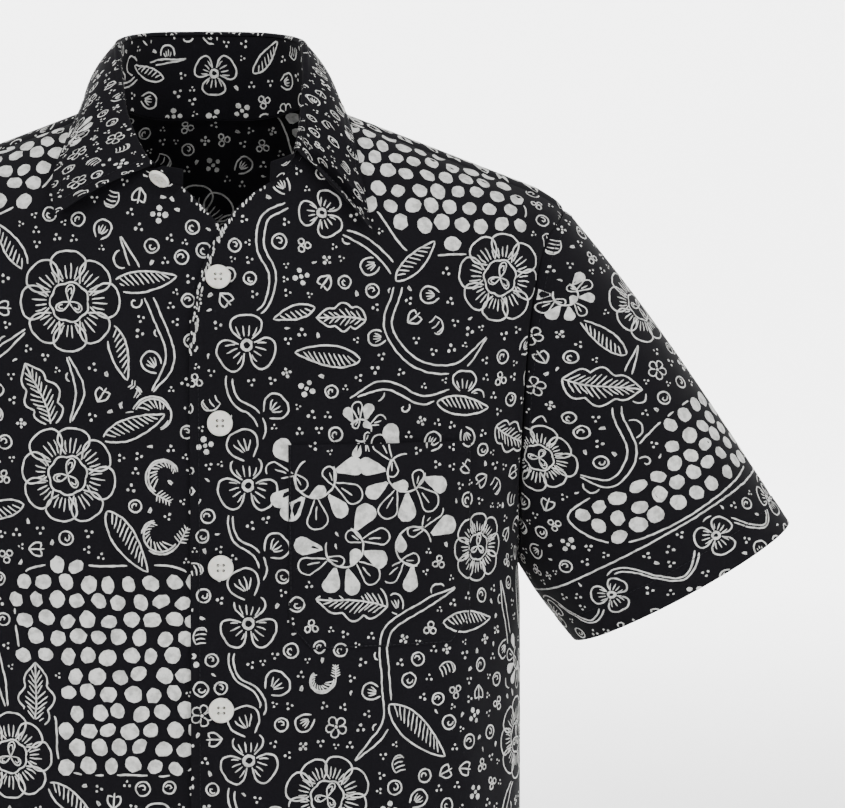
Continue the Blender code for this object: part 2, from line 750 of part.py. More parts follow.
def point_on_front(hand, row):
    x, reach = on_form(EdgePoint(row.x, row.z), -1.0)
    x *= hand
    return trunk(x, reach) + trunk_normal(x, reach) * lap(hand, x)


def rim_places():
    """Signed places of the rim points, negative on the wearer's right."""
    half = BACK_PLACES + FRONT_PLACES[1:]
    return [-place for place in half[:0:-1]] + half


def collar_point(table, place):
    """A point of a collar line at a signed place."""
    keys = column(table, "place")
    hand = 1.0 if place >= 0 else -1.0
    place = abs(place)
    return Vector((hand * follow(keys, column(table, "x"), place),
                   follow(keys, column(table, "y"), place),
                   follow(keys, column(table, "z"), place)))


def top_point(place):
    own = COLLAR_TOP_LEFT if place >= 0 else COLLAR_TOP_RIGHT
    return collar_point(COLLAR_TOP + own, place)


def edge_point(place):
    own = FALL_EDGE_LEFT if place >= 0 else FALL_EDGE_RIGHT
    return collar_point(FALL_EDGE + own, place)


def roll_frame(place, base):
    """At a place of the roll line: the ways along it, up the stand and out of the neck."""
    step = 0.01
    ahead = (top_point(place + step) - top_point(place - step)).normalized()
    up = top_point(place) - base
    up = (up - ahead * up.dot(ahead)).normalized()
    out = up.cross(ahead)
    return ahead, up, out


def stand_top(place, base):
    """The outer face of the stand's top edge: under the roll, and free beyond its end."""
    top = top_point(place)
    if abs(place) > ROLL_END + ROLL_SLACK:
        return top
    _, up, out = roll_frame(place, base)
    clear = ROLL_END_CLEAR if abs(place) > ROLL_END - 0.08 else ROLL_CLEAR
    return top - up * (FALL_ROLL + clear) - out * (FALL_ROLL - WALL)


def stand_grid():
    rim = neck_rim()
    tops = [stand_top(place, base) for place, base in zip(rim_places(), rim)]
    return [[base.lerp(top, share) for base, top in zip(rim, tops)] for share in steps(STAND_ROWS)]


def neck_normals():
    """Along the neckline, trunk and stand share one direction, so that their walls mitre."""
    own = grid_normals(stand_grid())[0]
    right = [trunk_normal_of(-1.0, row) for row in NECKLINE_RIGHT[:0:-1]]
    left = [trunk_normal_of(1.0, row) for row in NECKLINE_LEFT[1:]]
    back_left = [trunk_normal(row.x, row.reach) for row in NECKLINE_BACK]
    back_right = [trunk_normal(-row.x, row.reach) for row in NECKLINE_BACK[:0:-1]]
    return [(a + b).normalized() for a, b in zip(right + back_right + back_left + left, own)]


def trunk_normal_of(hand, row):
    x, reach = on_form(EdgePoint(row.x, row.z), -1.0)
    return trunk_normal(hand * x, reach)


def make_stand(name, material):
    grid = stand_grid()
    normals = grid_normals(grid)
    normals[0] = neck_normals()
    for i, (place, base) in enumerate(zip(rim_places(), grid[0])):
        if abs(place) <= ROLL_END + ROLL_SLACK:
            normals[-1][i] = roll_frame(place, base)[2]
    face = pull_in(grid)
    return add_object(name, wall_mesh(name, face, wall(face, normals)), material)


def make_fall(name, material):
    rim = neck_rim()
    columns = [(place, base) for place, base in zip(rim_places(), rim) if abs(place) <= ROLL_END + ROLL_SLACK]
    lines = []
    for place, base in columns:
        ahead, up, out = roll_frame(place, base)
        centre = top_point(place) - up * FALL_ROLL
        strip = []
        for share in steps(ROLL_ROWS):
            angle = math.pi * (1.0 - share)
            strip.append(centre + (out * math.cos(angle) + up * math.sin(angle)) * FALL_ROLL)
        start = strip[-1]
        end = edge_point(place)
        swell = (end - start).cross(ahead).normalized()
        swell = swell if swell.dot(out) > 0 else -swell
        for share in steps(FALL_ROWS)[1:]:
            bow = swell * (FALL_BOW * math.sin(math.pi * share))
            strip.append(start.lerp(end, share) + bow)
        lines.append(strip)
    grid = [[strip[j] for strip in reversed(lines)] for j in range(ROLL_ROWS + FALL_ROWS + 1)]
    normals = grid_normals(grid)
    normals[0] = [-roll_frame(place, base)[2] for place, base in reversed(columns)]
    face = pull_in(grid)
    return add_object(name, wall_mesh(name, face, wall(face, normals)), material)


# ---- buttons ----
def ring(mesh, radius, height, sides, x=0.0, y=0.0):
    points = []
    for k in range(sides):
        angle = 2.0 * math.pi * k / sides
        place = Vector((x + radius * math.cos(angle), y + radius * math.sin(angle), height))
        points.append(mesh.verts.new(place * MM))
    return points


def bridge(mesh, lower, upper):
    count = len(lower)
    for k in range(count):
        after = (k + 1) % count
        mesh.faces.new((lower[k], lower[after], upper[after], upper[k]))


def fill(mesh, loops):
    edges = []
    for loop in loops:
        for a, b in zip(loop, loop[1:] + loop[:1]):
            edges.append(mesh.edges.get((a, b)) or mesh.edges.new((a, b)))
    bmesh.ops.triangle_fill(mesh, use_beauty=True, use_dissolve=False, edges=edges)


def button_mesh(name, radius):
    """A four-hole button: a rounded rim round a shallow well."""
    shape = bmesh.new()
    profile = [(radius - 0.9, 0.0), (radius, 0.8), (radius - 0.1, 1.9),
               (radius - 1.1, BUTTON_THICK), (radius - 2.4, BUTTON_THICK - 0.8)]
    rings = [ring(shape, r, h, BUTTON_SIDES) for r, h in profile]
    for lower, upper in zip(rings, rings[1:]):
        bridge(shape, lower, upper)
    well = profile[-1][1]
    below = []
    above = []
    for sx, sy in ((1, 1), (-1, 1), (-1, -1), (1, -1)):
        spot = (sx * HOLE_OFFSET, sy * HOLE_OFFSET)
        low = ring(shape, HOLE_RADIUS, 0.0, HOLE_SIDES, *spot)
        high = ring(shape, HOLE_RADIUS, well, HOLE_SIDES, *spot)
        bridge(shape, high, low)
        below.append(low)
        above.append(high)
    fill(shape, [rings[0]] + below)
    fill(shape, [rings[-1]] + above)
    bmesh.ops.recalc_face_normals(shape, faces=shape.faces)
    mesh = bpy.data.meshes.new(name)
    shape.to_mesh(mesh)
    shape.free()
    return mesh


def place_button(name, mesh, at, facing, material):
    thing = bpy.data.objects.new(name, mesh)
    bpy.context.scene.collection.objects.link(thing)
    if not mesh.materials:
        mesh.materials.append(material)
        mesh.shade_smooth()
        mesh.set_sharp_from_angle(angle=math.radians(40.0))
    thing.location = at * MM
    thing.rotation_mode = "QUATERNION"
    thing.rotation_quaternion = facing.to_track_quat("Z", "Y")
    return thing


def make_buttons(material):
    mesh = button_mesh("button", BUTTON_RADIUS)
    for k in range(BUTTON_COUNT):
        z = BUTTON_TOP_Z - BUTTON_PITCH * k
        x, reach = on_form(EdgePoint(0.0, z), -1.0)
        normal = trunk_normal(x, reach)
        at = trunk(x, reach) + normal * (LAP_STEP + BUTTON_STAND)
        place_button(f"button_{k + 1}", mesh, at, normal, material)
    small = button_mesh("small_button", BUTTON_RADIUS - COLLAR_BUTTON_LESS)
    place_button("collar_button", small, Vector(COLLAR_BUTTON_AT), Vector(COLLAR_BUTTON_FACES), material)


def main():
    for thing in list(bpy.data.objects):
        bpy.data.objects.remove(thing)
    cloth = add_material("batik_cotton", CLOTH_COLOUR, 0.9, sheen=0.2)
    shell = add_material("button_plastic", BUTTON_COLOUR, 0.35)
    make_front(1.0, "front_left", cloth)
    make_front(-1.0, "front_right", cloth)
    make_back("back", cloth)
    make_sleeve(1.0, "sleeve_left", cloth)
    make_sleeve(-1.0, "sleeve_right", cloth)
    make_stand("collar_stand", cloth)
    make_fall("collar_fall", cloth)
    make_pocket("pocket", cloth)
    make_buttons(shell)


main()
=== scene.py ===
# Looks of a short-sleeved batik shirt, filled out as worn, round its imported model.
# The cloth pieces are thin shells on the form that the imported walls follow. The print is
# drawn by small motif functions in flat cloth coordinates and laid on the shells.
# Tables are in millimetres.

import math
import random
from collections import namedtuple

import bmesh
import bpy
import numpy as np
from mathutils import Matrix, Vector
from mathutils.bvhtree import BVHTree


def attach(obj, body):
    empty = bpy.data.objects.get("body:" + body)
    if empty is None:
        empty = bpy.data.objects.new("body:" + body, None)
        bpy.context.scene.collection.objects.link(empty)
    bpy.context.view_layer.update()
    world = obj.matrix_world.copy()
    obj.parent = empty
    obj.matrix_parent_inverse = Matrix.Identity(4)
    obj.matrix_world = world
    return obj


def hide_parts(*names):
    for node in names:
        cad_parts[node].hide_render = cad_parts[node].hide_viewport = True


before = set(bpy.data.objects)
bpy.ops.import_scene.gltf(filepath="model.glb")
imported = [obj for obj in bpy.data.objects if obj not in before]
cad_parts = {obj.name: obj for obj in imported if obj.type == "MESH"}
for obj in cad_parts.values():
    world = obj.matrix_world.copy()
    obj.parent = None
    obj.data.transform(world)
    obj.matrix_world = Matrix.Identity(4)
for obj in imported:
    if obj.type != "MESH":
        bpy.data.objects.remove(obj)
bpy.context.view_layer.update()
MM = 0.001

# ---- the trunk's form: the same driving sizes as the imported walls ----
HEM_Z = -700.0
ARMPIT_Z = -287.0
NECK_HALF = 64.0
NECK_RISE = 8.4
SHOULDER_TOP_Z = 8.8
SHOULDER_SLOPE = 0.385
SHOULDER_TURN_X = 207.0
SHOULDER_TURN = 0.016
SHOULDER_ROUND = 60.0
SHOULDER_END = 226.5
SEAM_FORWARD = 21.0
OVER_SHARE = 0.18
PLUMPNESS = 2.5
LAP_HALF = 19.0
LAP_STEP = 2.2
LAP_FADE = 40.0
CLOTH = 0.8              # the shells' thickness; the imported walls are 1.2
SEAM_GAP = 0.1

def table(kind, *rows):
    """Rows of named columns."""
    return [kind(*row) for row in rows]


Section = namedtuple("Section", "z front back side fore aft")
TRUNK = table(Section,
    (40, 50, 50, 240, 46, 46), (10, 54, 55, 238, 48, 48), (-40, 65, 76, 233, 50, 54),
    (-61, 74, 86, 228, 52, 58), (-80, 84, 94, 212, 56, 62), (-112, 98, 104, 203, 61, 69),
    (-150, 109, 111, 198, 65, 73), (-195, 117, 115, 195.5, 62, 71), (-235, 121, 115, 194.5, 51, 58),
    (-265, 122, 114, 195.5, 33, 37), (-280, 122, 113, 196.6, 15, 16), (ARMPIT_Z, 122, 112.5, 197.3, 0, 0),
    (-320, 122, 111, 198.8, 0, 0), (-440, 120, 106, 199, 0, 0), (-560, 118, 106, 199, 0, 0),
    (HEM_Z, 119, 110, 200, 0, 0))
EdgePoint = namedtuple("EdgePoint", "x z")
LEFT_EDGE = table(EdgePoint,
    (34, -43), (20, -52.5), (4, -70), (-7, -89), (-15, -116), (-18.5, -145), (-LAP_HALF, HEM_Z))
RIGHT_EDGE = table(EdgePoint,
    (-20.5, -45), (-9.5, -56.5), (4, -72), (13, -89), (17.5, -116), (LAP_HALF, -145), (LAP_HALF, HEM_Z))
NeckPoint = namedtuple("NeckPoint", "place x reach")
SEAM_PLACE = 0.6
NECKLINE_BACK = table(NeckPoint,
    (0, 0, 79), (0.1, 20, 69.5), (0.2, 38, 56), (0.3, 53, 38), (0.4, 61.5, 20), (0.5, 64.2, 0),
    (SEAM_PLACE, NECK_HALF, -SEAM_FORWARD))
NeckDip = namedtuple("NeckDip", "place x z")
NECKLINE_LEFT = table(NeckDip,
    (SEAM_PLACE, NECK_HALF, 5.1), (0.68, 62, -7), (0.76, 57.5, -21), (0.82, 51.5, -31.5), (0.88, 45, -38),
    (1, 34, -43))
NECKLINE_RIGHT = table(NeckDip,
    (SEAM_PLACE, NECK_HALF, 5.1), (0.68, 62, -7), (0.76, 55.5, -22), (0.82, 47, -32.5), (0.88, 38, -39.5),
    (1, 20.5, -45))
CollarPoint = namedtuple("CollarPoint", "place x y z")
COLLAR_TOP = table(CollarPoint,
    (0, 0, 51, 54), (0.2, 31, 45.5, 53.5), (0.36, 53, 25, 50.5), (0.48, 59.5, 2, 46), (0.6, 59, -19, 33),
    (0.72, 56, -40, 8))
COLLAR_TOP_LEFT = table(CollarPoint,
    (0.82, 54.5, -55.5, -10), (0.88, 51, -64.5, -22.5), (1, 34.5, -72, -30))
COLLAR_TOP_RIGHT = table(CollarPoint,
    (0.82, 47.5, -53.5, -17), (0.88, 38, -62.5, -30.5), (1, 20.5, -71, -34.5))
ROLL_END = 0.88
FALL_EDGE = table(CollarPoint,
    (0, 0, 73, -9), (0.2, 42, 67, -5), (0.36, 72, 42, 1.5), (0.48, 83, 12, 4), (0.6, 85, -16, 1.5))
FALL_EDGE_LEFT = table(CollarPoint,
    (0.72, 88.5, -50, -17), (0.82, 94, -72, -53), (0.88, 97.5, -86, -74))
FALL_EDGE_RIGHT = table(CollarPoint,
    (0.72, 94, -45, -18), (0.82, 102.5, -69, -44), (0.88, 101, -83.5, -63))
FALL_ROLL = 2.4
FALL_BOW = 4.0

# ---- sleeves ----
HEM_OUTER = (378.5, -267.5)
HEM_INNER = (237.0, -344.0)
HEM_DEPTH = 61.0
HEM_BACKWARD = 9.0
SLEEVE_BULGE_TOP = 5.0
SLEEVE_BULGE_FACE = 13.0
SLEEVE_BULGE_UNDER = 3.0

# ---- pocket ----
POCKET_LEFT = 42.0
POCKET_WIDTH = 116.0
POCKET_TOP_Z = -204.0
POCKET_HEIGHT = 127.0
POCKET_CORNER = 14.0

# ---- drape: x and z of the middle, lean in degrees, half width, half length, depth ----
Fold = namedtuple("Fold", "x z lean width length depth")
FRONT_FOLDS = table(Fold,
    (160, -400, 10, 16, 75, 4), (176, -470, 4, 13, 120, -3.5), (120, -560, -5, 20, 150, 4),
    (-152, -360, -10, 17, 85, 3.5), (-120, -575, 6, 18, 135, 4.5), (-176, -500, -3, 14, 100, -3),
    (62, -610, 3, 17, 100, -3), (-66, -625, -4, 16, 90, -3))
BACK_FOLDS = table(Fold,
    (150, -330, 14, 18, 85, 4.5), (-146, -345, -12, 16, 95, 4), (92, -480, 5, 22, 165, -5),
    (-84, -500, -4, 20, 150, -4.5), (45, -540, 2, 19, 140, 4.5), (-38, -560, -2, 18, 125, 4),
    (128, -590, -3, 18, 110, 4), (-130, -600, 3, 17, 100, 4))
# Smaller creases, which only the shells show.
FRONT_CREASES = table(Fold,
    (184, -215, 24, 7, 42, -1.6), (168, -190, 31, 9, 46, 1.5), (186, -318, 38, 6, 34, -1.5),
    (150, -300, 48, 8, 40, 1.2), (-182, -210, -24, 7, 44, -1.6), (-160, -292, -46, 8, 44, 1.3),
    (-186, -330, -34, 6, 36, -1.4), (96, -78, 70, 8, 50, 1), (-100, -82, -66, 8, 46, 1.1),
    (36, -150, 18, 7, 34, -0.9), (30, -236, 24, 6, 30, -0.8), (-34, -165, -20, 7, 36, -0.9),
    (-32, -330, -15, 6, 34, -0.8), (28, -420, 14, 6, 36, -0.8), (64, -352, 0, 5, 26, -0.9),
    (138, -470, 18, 10, 60, 1.3), (-70, -470, -12, 11, 70, 1.3))
BACK_CREASES = table(Fold,
    (70, -60, 60, 8, 48, 1.2), (-66, -58, -62, 8, 44, 1.1), (176, -200, 20, 8, 52, -1.8),
    (-178, -205, -22, 8, 50, -1.8), (120, -250, 36, 9, 60, 1.4), (-112, -260, -38, 9, 55, 1.5),
    (20, -400, 5, 10, 80, -1.5), (-160, -470, -8, 9, 70, -1.6), (164, -440, 7, 9, 64, -1.5))
SleeveFold = namedtuple("SleeveFold", "turn along width length depth")
SLEEVE_FOLDS = table(SleeveFold,
    (0.3, 0.3, 0.035, 0.3, -4), (0.2, 0.45, 0.04, 0.28, 3), (0.4, 0.6, 0.035, 0.3, 3),
    (0.66, 0.35, 0.04, 0.3, -4.5), (0.76, 0.5, 0.045, 0.32, 3.5))
SLEEVE_CREASES = table(SleeveFold,
    (0.13, 0.3, 0.018, 0.16, -1.3), (0.24, 0.62, 0.02, 0.22, -1.4), (0.1, 0.72, 0.022, 0.2, 1),
    (0.33, 0.8, 0.018, 0.16, -1.2), (0.88, 0.4, 0.02, 0.2, -1.3), (0.8, 0.75, 0.02, 0.18, -1.4))


# ---- small helpers, on arrays ----
def smooth(t):
    t = np.clip(t, 0.0, 1.0)
    return t * t * (3.0 - 2.0 * t)


class Curve:
    """A smooth curve through a table's rows that doesn't overshoot; it works on arrays."""

    def __init__(self, keys, values):
        order = np.argsort(keys)
        self.keys = np.asarray(keys, float)[order]
        self.values = np.asarray(values, float)[order]
        step = np.diff(self.values) / np.diff(self.keys)
        tilt = np.empty(len(self.keys))
        tilt[0], tilt[-1] = step[0], step[-1]
        before, after = step[:-1], step[1:]
        same = before * after > 0
        total = np.where(same, before + after, 1.0)
        tilt[1:-1] = np.where(same, 2.0 * before * after / total, 0.0)
        self.tilt = tilt

    def __call__(self, key):
        key = np.clip(key, self.keys[0], self.keys[-1])
        i = np.clip(np.searchsorted(self.keys, key, side="right") - 1, 0, len(self.keys) - 2)
        width = self.keys[i + 1] - self.keys[i]
        t = (key - self.keys[i]) / width
        return ((2 * t ** 3 - 3 * t ** 2 + 1) * self.values[i]
                + (t ** 3 - 2 * t ** 2 + t) * width * self.tilt[i]
                + (3 * t ** 2 - 2 * t ** 3) * self.values[i + 1]
                + (t ** 3 - t ** 2) * width * self.tilt[i + 1])


def curve(table, key, value):
    return Curve([getattr(row, key) for row in table], [getattr(row, value) for row in table])


def unit(vectors):
    return vectors / np.maximum(np.linalg.norm(vectors, axis=-1, keepdims=True), 1e-9)


def stack(*parts):
    return np.stack(np.broadcast_arrays(*parts), axis=-1).astype(float)


def polar(reach, angle):
    return np.stack([reach * np.cos(angle), reach * np.sin(angle)], axis=-1)


def turned(points, angle):
    c, s = math.cos(angle), math.sin(angle)
    return points @ np.array([[c, s], [-s, c]])


def link(name, data, slot=None):
    """Data as an object in the scene; with a slot, it also rides on the shirt's body."""
    thing = bpy.data.objects.new(name, data)
    bpy.context.scene.collection.objects.link(thing)
    if slot:
        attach(thing, "root")
    return thing


def mesh_piece(name, verts, faces, material, slot=None):
    mesh = bpy.data.meshes.new(name)
    mesh.from_pydata(verts, [], faces)
    mesh.materials.append(material)
    mesh.shade_smooth()
    return link(name, mesh, slot)


SECTION = {name: curve(TRUNK, "z", name) for name in ("front", "back", "side", "fore", "aft")}


# ---- the trunk's form ----
def shoulder_line(x):
    x = np.abs(x)
    neck = np.maximum(1.0 - (x / NECK_HALF) ** 2, 0.0)
    turned = np.maximum(x - SHOULDER_TURN_X, 0.0)
    slope = SHOULDER_TOP_Z - SHOULDER_SLOPE * (x - NECK_HALF)
    return slope + NECK_RISE * neck ** 2 - SHOULDER_TURN * turned ** 2


def reach_to_drop(reach):
    reach = np.abs(reach)
    quarter = SHOULDER_ROUND * math.pi / 2
    rounded = SHOULDER_ROUND * (1.0 - np.cos(np.minimum(reach, quarter) / SHOULDER_ROUND))
    return np.where(reach < quarter, rounded, SHOULDER_ROUND + reach - quarter)


def drop_to_reach(drop):
    drop = np.maximum(drop, 0.0)
    rounded = SHOULDER_ROUND * np.arccos(1.0 - np.minimum(drop, SHOULDER_ROUND) / SHOULDER_ROUND)
    return np.where(drop < SHOULDER_ROUND, rounded, SHOULDER_ROUND * math.pi / 2 + drop - SHOULDER_ROUND)


def fold_height(folds, x, z):
    total = np.zeros_like(x)
    for fold in folds:
        lean = math.radians(fold.lean)
        across = (x - fold.x) * math.cos(lean) + (z - fold.z) * math.sin(lean)
        down = (z - fold.z) * math.cos(lean) - (x - fold.x) * math.sin(lean)
        total += fold.depth * np.exp(-(across / fold.width) ** 2 - (down / fold.length) ** 2)
    return total


def trunk(x, reach):
    """Points of the trunk's form; reach is measured over the shoulder line, front negative."""
    x = np.asarray(x, float)
    reach = np.asarray(reach, float)
    z = shoulder_line(x) - reach_to_drop(reach)
    front = reach < 0.0
    middle = np.where(front, SECTION["front"](z), SECTION["back"](z))
    seam = np.where(front, SECTION["fore"](z), SECTION["aft"](z))
    out = np.minimum(np.abs(x) / SECTION["side"](z), 1.0)
    base = 1.0 - (1.0 - (seam / middle) ** PLUMPNESS) * out ** PLUMPNESS
    fill = np.maximum(base, 0.0) ** (1.0 / PLUMPNESS)
    turn = np.sin(np.minimum(np.abs(reach) / SHOULDER_ROUND, math.pi / 2))
    folds = np.where(front, fold_height(FRONT_FOLDS, x, z), fold_height(BACK_FOLDS, x, z))
    creases = np.where(front, fold_height(FRONT_CREASES, x, z), fold_height(BACK_CREASES, x, z))
    ripple = 0.5 * np.sin(x * 0.043 + z * 0.011 + 1.3) * np.sin(z * 0.019 - x * 0.013)
    depth = (middle * fill + (folds + creases + ripple) * np.minimum(fill * 2.0, 1.0)) * turn
    return stack(x, np.where(front, -depth, depth), z)


def trunk_normal(x, reach):
    step = 0.8
    inner = np.where(x > 0, x - step, x)
    across = trunk(inner + step, reach) - trunk(inner, reach)
    over = trunk(x, reach + step) - trunk(x, reach - step)
    return unit(np.cross(across, over))


def lap(hand, x):
    """The wearer's left front stands outside the form and laps over the right one."""
    if hand <= 0:
        return np.zeros_like(x)
    return LAP_STEP * (1.0 - smooth((x - 2.0 * LAP_HALF) / LAP_FADE))


def on_form(x, z, face):
    return face * drop_to_reach(shoulder_line(x) - z)


# ---- panel edges on the form, as rows of (x, reach) ----
ARM_ROWS = 12
SIDE_ROWS = 9
NECK_ROWS = 5
LAST_ROW = ARM_ROWS + SIDE_ROWS


def armhole(share):
    top_z = float(shoulder_line(SHOULDER_END) - reach_to_drop(SEAM_FORWARD))
    z = top_z + (ARMPIT_Z - top_z) * (1.0 - (1.0 - share) ** 1.35)
    side = SECTION["side"]
    x = side(z) + (SHOULDER_END - side(top_z)) * (1.0 - share) ** 4
    return x, np.maximum(drop_to_reach(shoulder_line(x) - z), SEAM_FORWARD)


def back_armhole(share):
    lift = np.minimum(share / OVER_SHARE, 1.0)
    x, reach = armhole(np.clip((share - OVER_SHARE) / (1.0 - OVER_SHARE), 0.0, 1.0))
    over = share < OVER_SHARE
    return (np.where(over, SHOULDER_END + 1.5 * np.sin(lift * math.pi), x),
            np.where(over, SEAM_FORWARD * (2.0 * lift - 1.0), reach))


def outer_edge(row, face):
    """The armhole and side seam at rows 0 (shoulder seam) to 21 (hem)."""
    share = np.clip(row / ARM_ROWS, 0.0, 1.0)
    if face < 0:
        x, reach = armhole(share)
        reach = -reach
    else:
        x, reach = back_armhole(share)
    z = ARMPIT_Z + (HEM_Z - ARMPIT_Z) * (row - ARM_ROWS) / SIDE_ROWS
    side = SECTION["side"](z)
    below = row > ARM_ROWS
    x = np.where(below, side, x)
    return np.stack([x, np.where(below, on_form(side, z, face), reach)], axis=-1)


def front_edge(row, hand):
    """The neckline and front edge at rows 0 to 21; x positive towards the panel's own side."""
    neckline = NECKLINE_LEFT if hand > 0 else NECKLINE_RIGHT
    edge = LEFT_EDGE if hand > 0 else RIGHT_EDGE
    place = np.interp(row, range(NECK_ROWS + 1), [dip.place for dip in neckline])
    top_z = edge[0].z
    share = np.clip((row - NECK_ROWS) / (ARM_ROWS - NECK_ROWS), 0.0, 1.0)
    z = top_z + (ARMPIT_Z - top_z) * share ** 1.7
    z = np.where(row > ARM_ROWS, ARMPIT_Z + (HEM_Z - ARMPIT_Z) * (row - ARM_ROWS) / SIDE_ROWS, z)
    z = np.where(row < NECK_ROWS, curve(neckline, "place", "z")(place), z)
    x = np.where(row < NECK_ROWS, curve(neckline, "place", "x")(place), hand * curve(edge, "z", "x")(z))
    reach = on_form(x, z, -1.0)
    reach = np.where(row == 0.0, -SEAM_FORWARD, reach)
    return np.stack([x, reach], axis=-1)


def patch(inner, outer, top, low, face):
    """A panel's (x, reach) grid between its inner and outer edges and its top edge."""
    last = abs(outer[-1, 1])
    first = abs(outer[0, 1])
    down = ((np.abs(outer[:, 1]) - first) / (last - first))[:, None]
    settle = smooth(down / 0.3)
    level = smooth((down - 0.08) / 0.25)
    start_z = (shoulder_line(inner[:, 0]) - reach_to_drop(inner[:, 1]))[:, None]
    end_z = (shoulder_line(outer[:, 0]) - reach_to_drop(outer[:, 1]))[:, None]
    high = ((top[:, 0] - top[0, 0]) / (top[-1, 0] - top[0, 0]))[None, :]
    share = high + (low[None, :] - high) * settle
    extra = top[:, 1][None, :] - (top[0, 1] + (top[-1, 1] - top[0, 1]) * high)
    x = inner[:, :1] + (outer[:, :1] - inner[:, :1]) * share
    fanned = inner[:, 1:] + (outer[:, 1:] - inner[:, 1:]) * share + extra * (1.0 - down) ** 2
    flat = on_form(x, start_z + (end_z - start_z) * share, face)
    return x, fanned + (flat - fanned) * level


def shares(count, edge=0.014, close=3):
    """Steps from 0 to 1 that crowd beside both ends, where seams and hems need them."""
    near = edge * np.arange(close + 1) / close
    middle = np.linspace(edge, 1.0 - edge, count)
    return np.concatenate([near[:-1], middle, 1.0 - near[::-1][1:]])


def rows_of(counts):
    """Row values 0 to 21 cut up finely, keeping the corners at 5 and 12."""
    ends = [0.0, float(NECK_ROWS), float(ARM_ROWS), float(LAST_ROW)]
    parts = [np.linspace(a, b, n + 1)[:-1] for a, b, n in zip(ends, ends[1:], counts)]
    return np.concatenate(parts + [[float(LAST_ROW)]])


def front_places(hand):
    row = rows_of((26, 50, 104))
    share = shares(64)
    top = np.stack([NECK_HALF + (SHOULDER_END - NECK_HALF) * share,
                    np.full_like(share, -SEAM_FORWARD)], axis=-1)
    x, reach = patch(front_edge(row, hand), outer_edge(row, -1.0), top, 1.0 - (1.0 - share) ** 1.7, -1.0)
    return hand * x, reach


def back_top(k):
    """The back's top edge: k 0 at its middle, 6 at the shoulder seam, 13 at the armhole."""
    x = np.where(k <= 6.0, curve(NECKLINE_BACK, "place", "x")(k / 10.0),
                 NECK_HALF + (SHOULDER_END - NECK_HALF) * (k - 6.0) / 7.0)
    reach = np.where(k <= 6.0, curve(NECKLINE_BACK, "place", "reach")(k / 10.0), -SEAM_FORWARD)
    return np.stack([x, reach], axis=-1)


def back_places():
    row = rows_of((30, 46, 96))
    k = np.concatenate([np.linspace(0.0, 6.0, 34)[:-1], 6.0 + 7.0 * shares(36)[3:]])
    half = back_top(k)
    top = np.concatenate([half[:0:-1] * [-1.0, 1.0], half])
    out = 0.5 + 0.5 * (1.0 - (1.0 - k / 13.0) ** 1.6)
    low = np.concatenate([1.0 - out[:0:-1], out])
    left = outer_edge(row, 1.0)
    return patch(left * [-1.0, 1.0], left, top, low, 1.0)


# ---- shells ----
def grid_normals(grid, closed=False):
    """Unit normals of a grid; the sign follows its row and column order."""
    if closed:
        across = np.roll(grid, -1, axis=1) - np.roll(grid, 1, axis=1)
    else:
        across = np.gradient(grid, axis=1)
    return unit(np.cross(np.gradient(grid, axis=0), across))


def shell(name, face, normals, closed=False, thickness=CLOTH):
    """A thin closed shell: the face grid, and the same moved in along its normals."""
    rows, columns = face.shape[:2]
    behind = rows * columns
    points = np.concatenate([face.reshape(-1, 3), (face - normals * thickness).reshape(-1, 3)]) * MM
    spans = columns if closed else columns - 1
    j, i = np.meshgrid(np.arange(rows - 1), np.arange(spans), indexing="ij")
    after = (i + 1) % columns
    quads = np.stack([j * columns + i, (j + 1) * columns + i,
                      (j + 1) * columns + after, j * columns + after], axis=-1).reshape(-1, 4)
    middle = quads[len(quads) // 2]
    a, b, c, _ = points[middle]
    away = np.cross(b - a, c - a) @ normals.reshape(-1, 3)[middle[0]]
    if away < 0:
        quads = quads[:, ::-1]
    rim = [(k, k + 1) for k in range(columns - 1)]
    rim += [((rows - 1) * columns + k + 1, (rows - 1) * columns + k) for k in range(columns - 1)]
    if closed:
        rim += [(columns - 1, 0), ((rows - 1) * columns, rows * columns - 1)]
    else:
        rim += [((k + 1) * columns, k * columns) for k in range(rows - 1)]
        rim += [((k + 1) * columns - 1, (k + 2) * columns - 1) for k in range(rows - 1)]
    edges = np.array(rim)
    sides = np.stack([edges[:, 0], edges[:, 1], edges[:, 1] + behind, edges[:, 0] + behind], axis=-1)
    if away < 0:
        sides = sides[:, ::-1]
    faces = np.concatenate([quads, quads[:, ::-1] + behind, sides])
    mesh = bpy.data.meshes.new(name)
    mesh.from_pydata(points.tolist(), [], faces.tolist())
    mesh.validate()
    mesh.shade_smooth()
    mesh.set_sharp_from_angle(angle=math.radians(50.0))
    return link(name, mesh)


def edge_distance(grid):
    """Each grid point's distance along the cloth to the left, right, top and bottom edges."""
    step = np.linalg.norm(np.diff(grid, axis=1), axis=2)
    left = np.concatenate([np.zeros((len(grid), 1)), np.cumsum(step, axis=1)], axis=1)
    step = np.linalg.norm(np.diff(grid, axis=0), axis=2)
    top = np.concatenate([np.zeros((1, grid.shape[1])), np.cumsum(step, axis=0)], axis=0)
    return left, left[:, -1:] - left, top, top[-1:] - top


def seam_relief(distance):
    """A seam: sunken at the join, with the turned-in allowance raised beside it."""
    return -1.2 * np.exp(-(distance / 2.6) ** 2) + 0.7 * np.exp(-((distance - 7.0) / 4.5) ** 2)


def hem_relief(distance, depth):
    """A hem: a little thicker down to its stitch line, with a slight pull at the stitches."""
    turned = 0.45 * (1.0 - smooth((distance - depth) / 1.5))
    return turned - 0.5 * np.exp(-((distance - depth) / 2.2) ** 2)


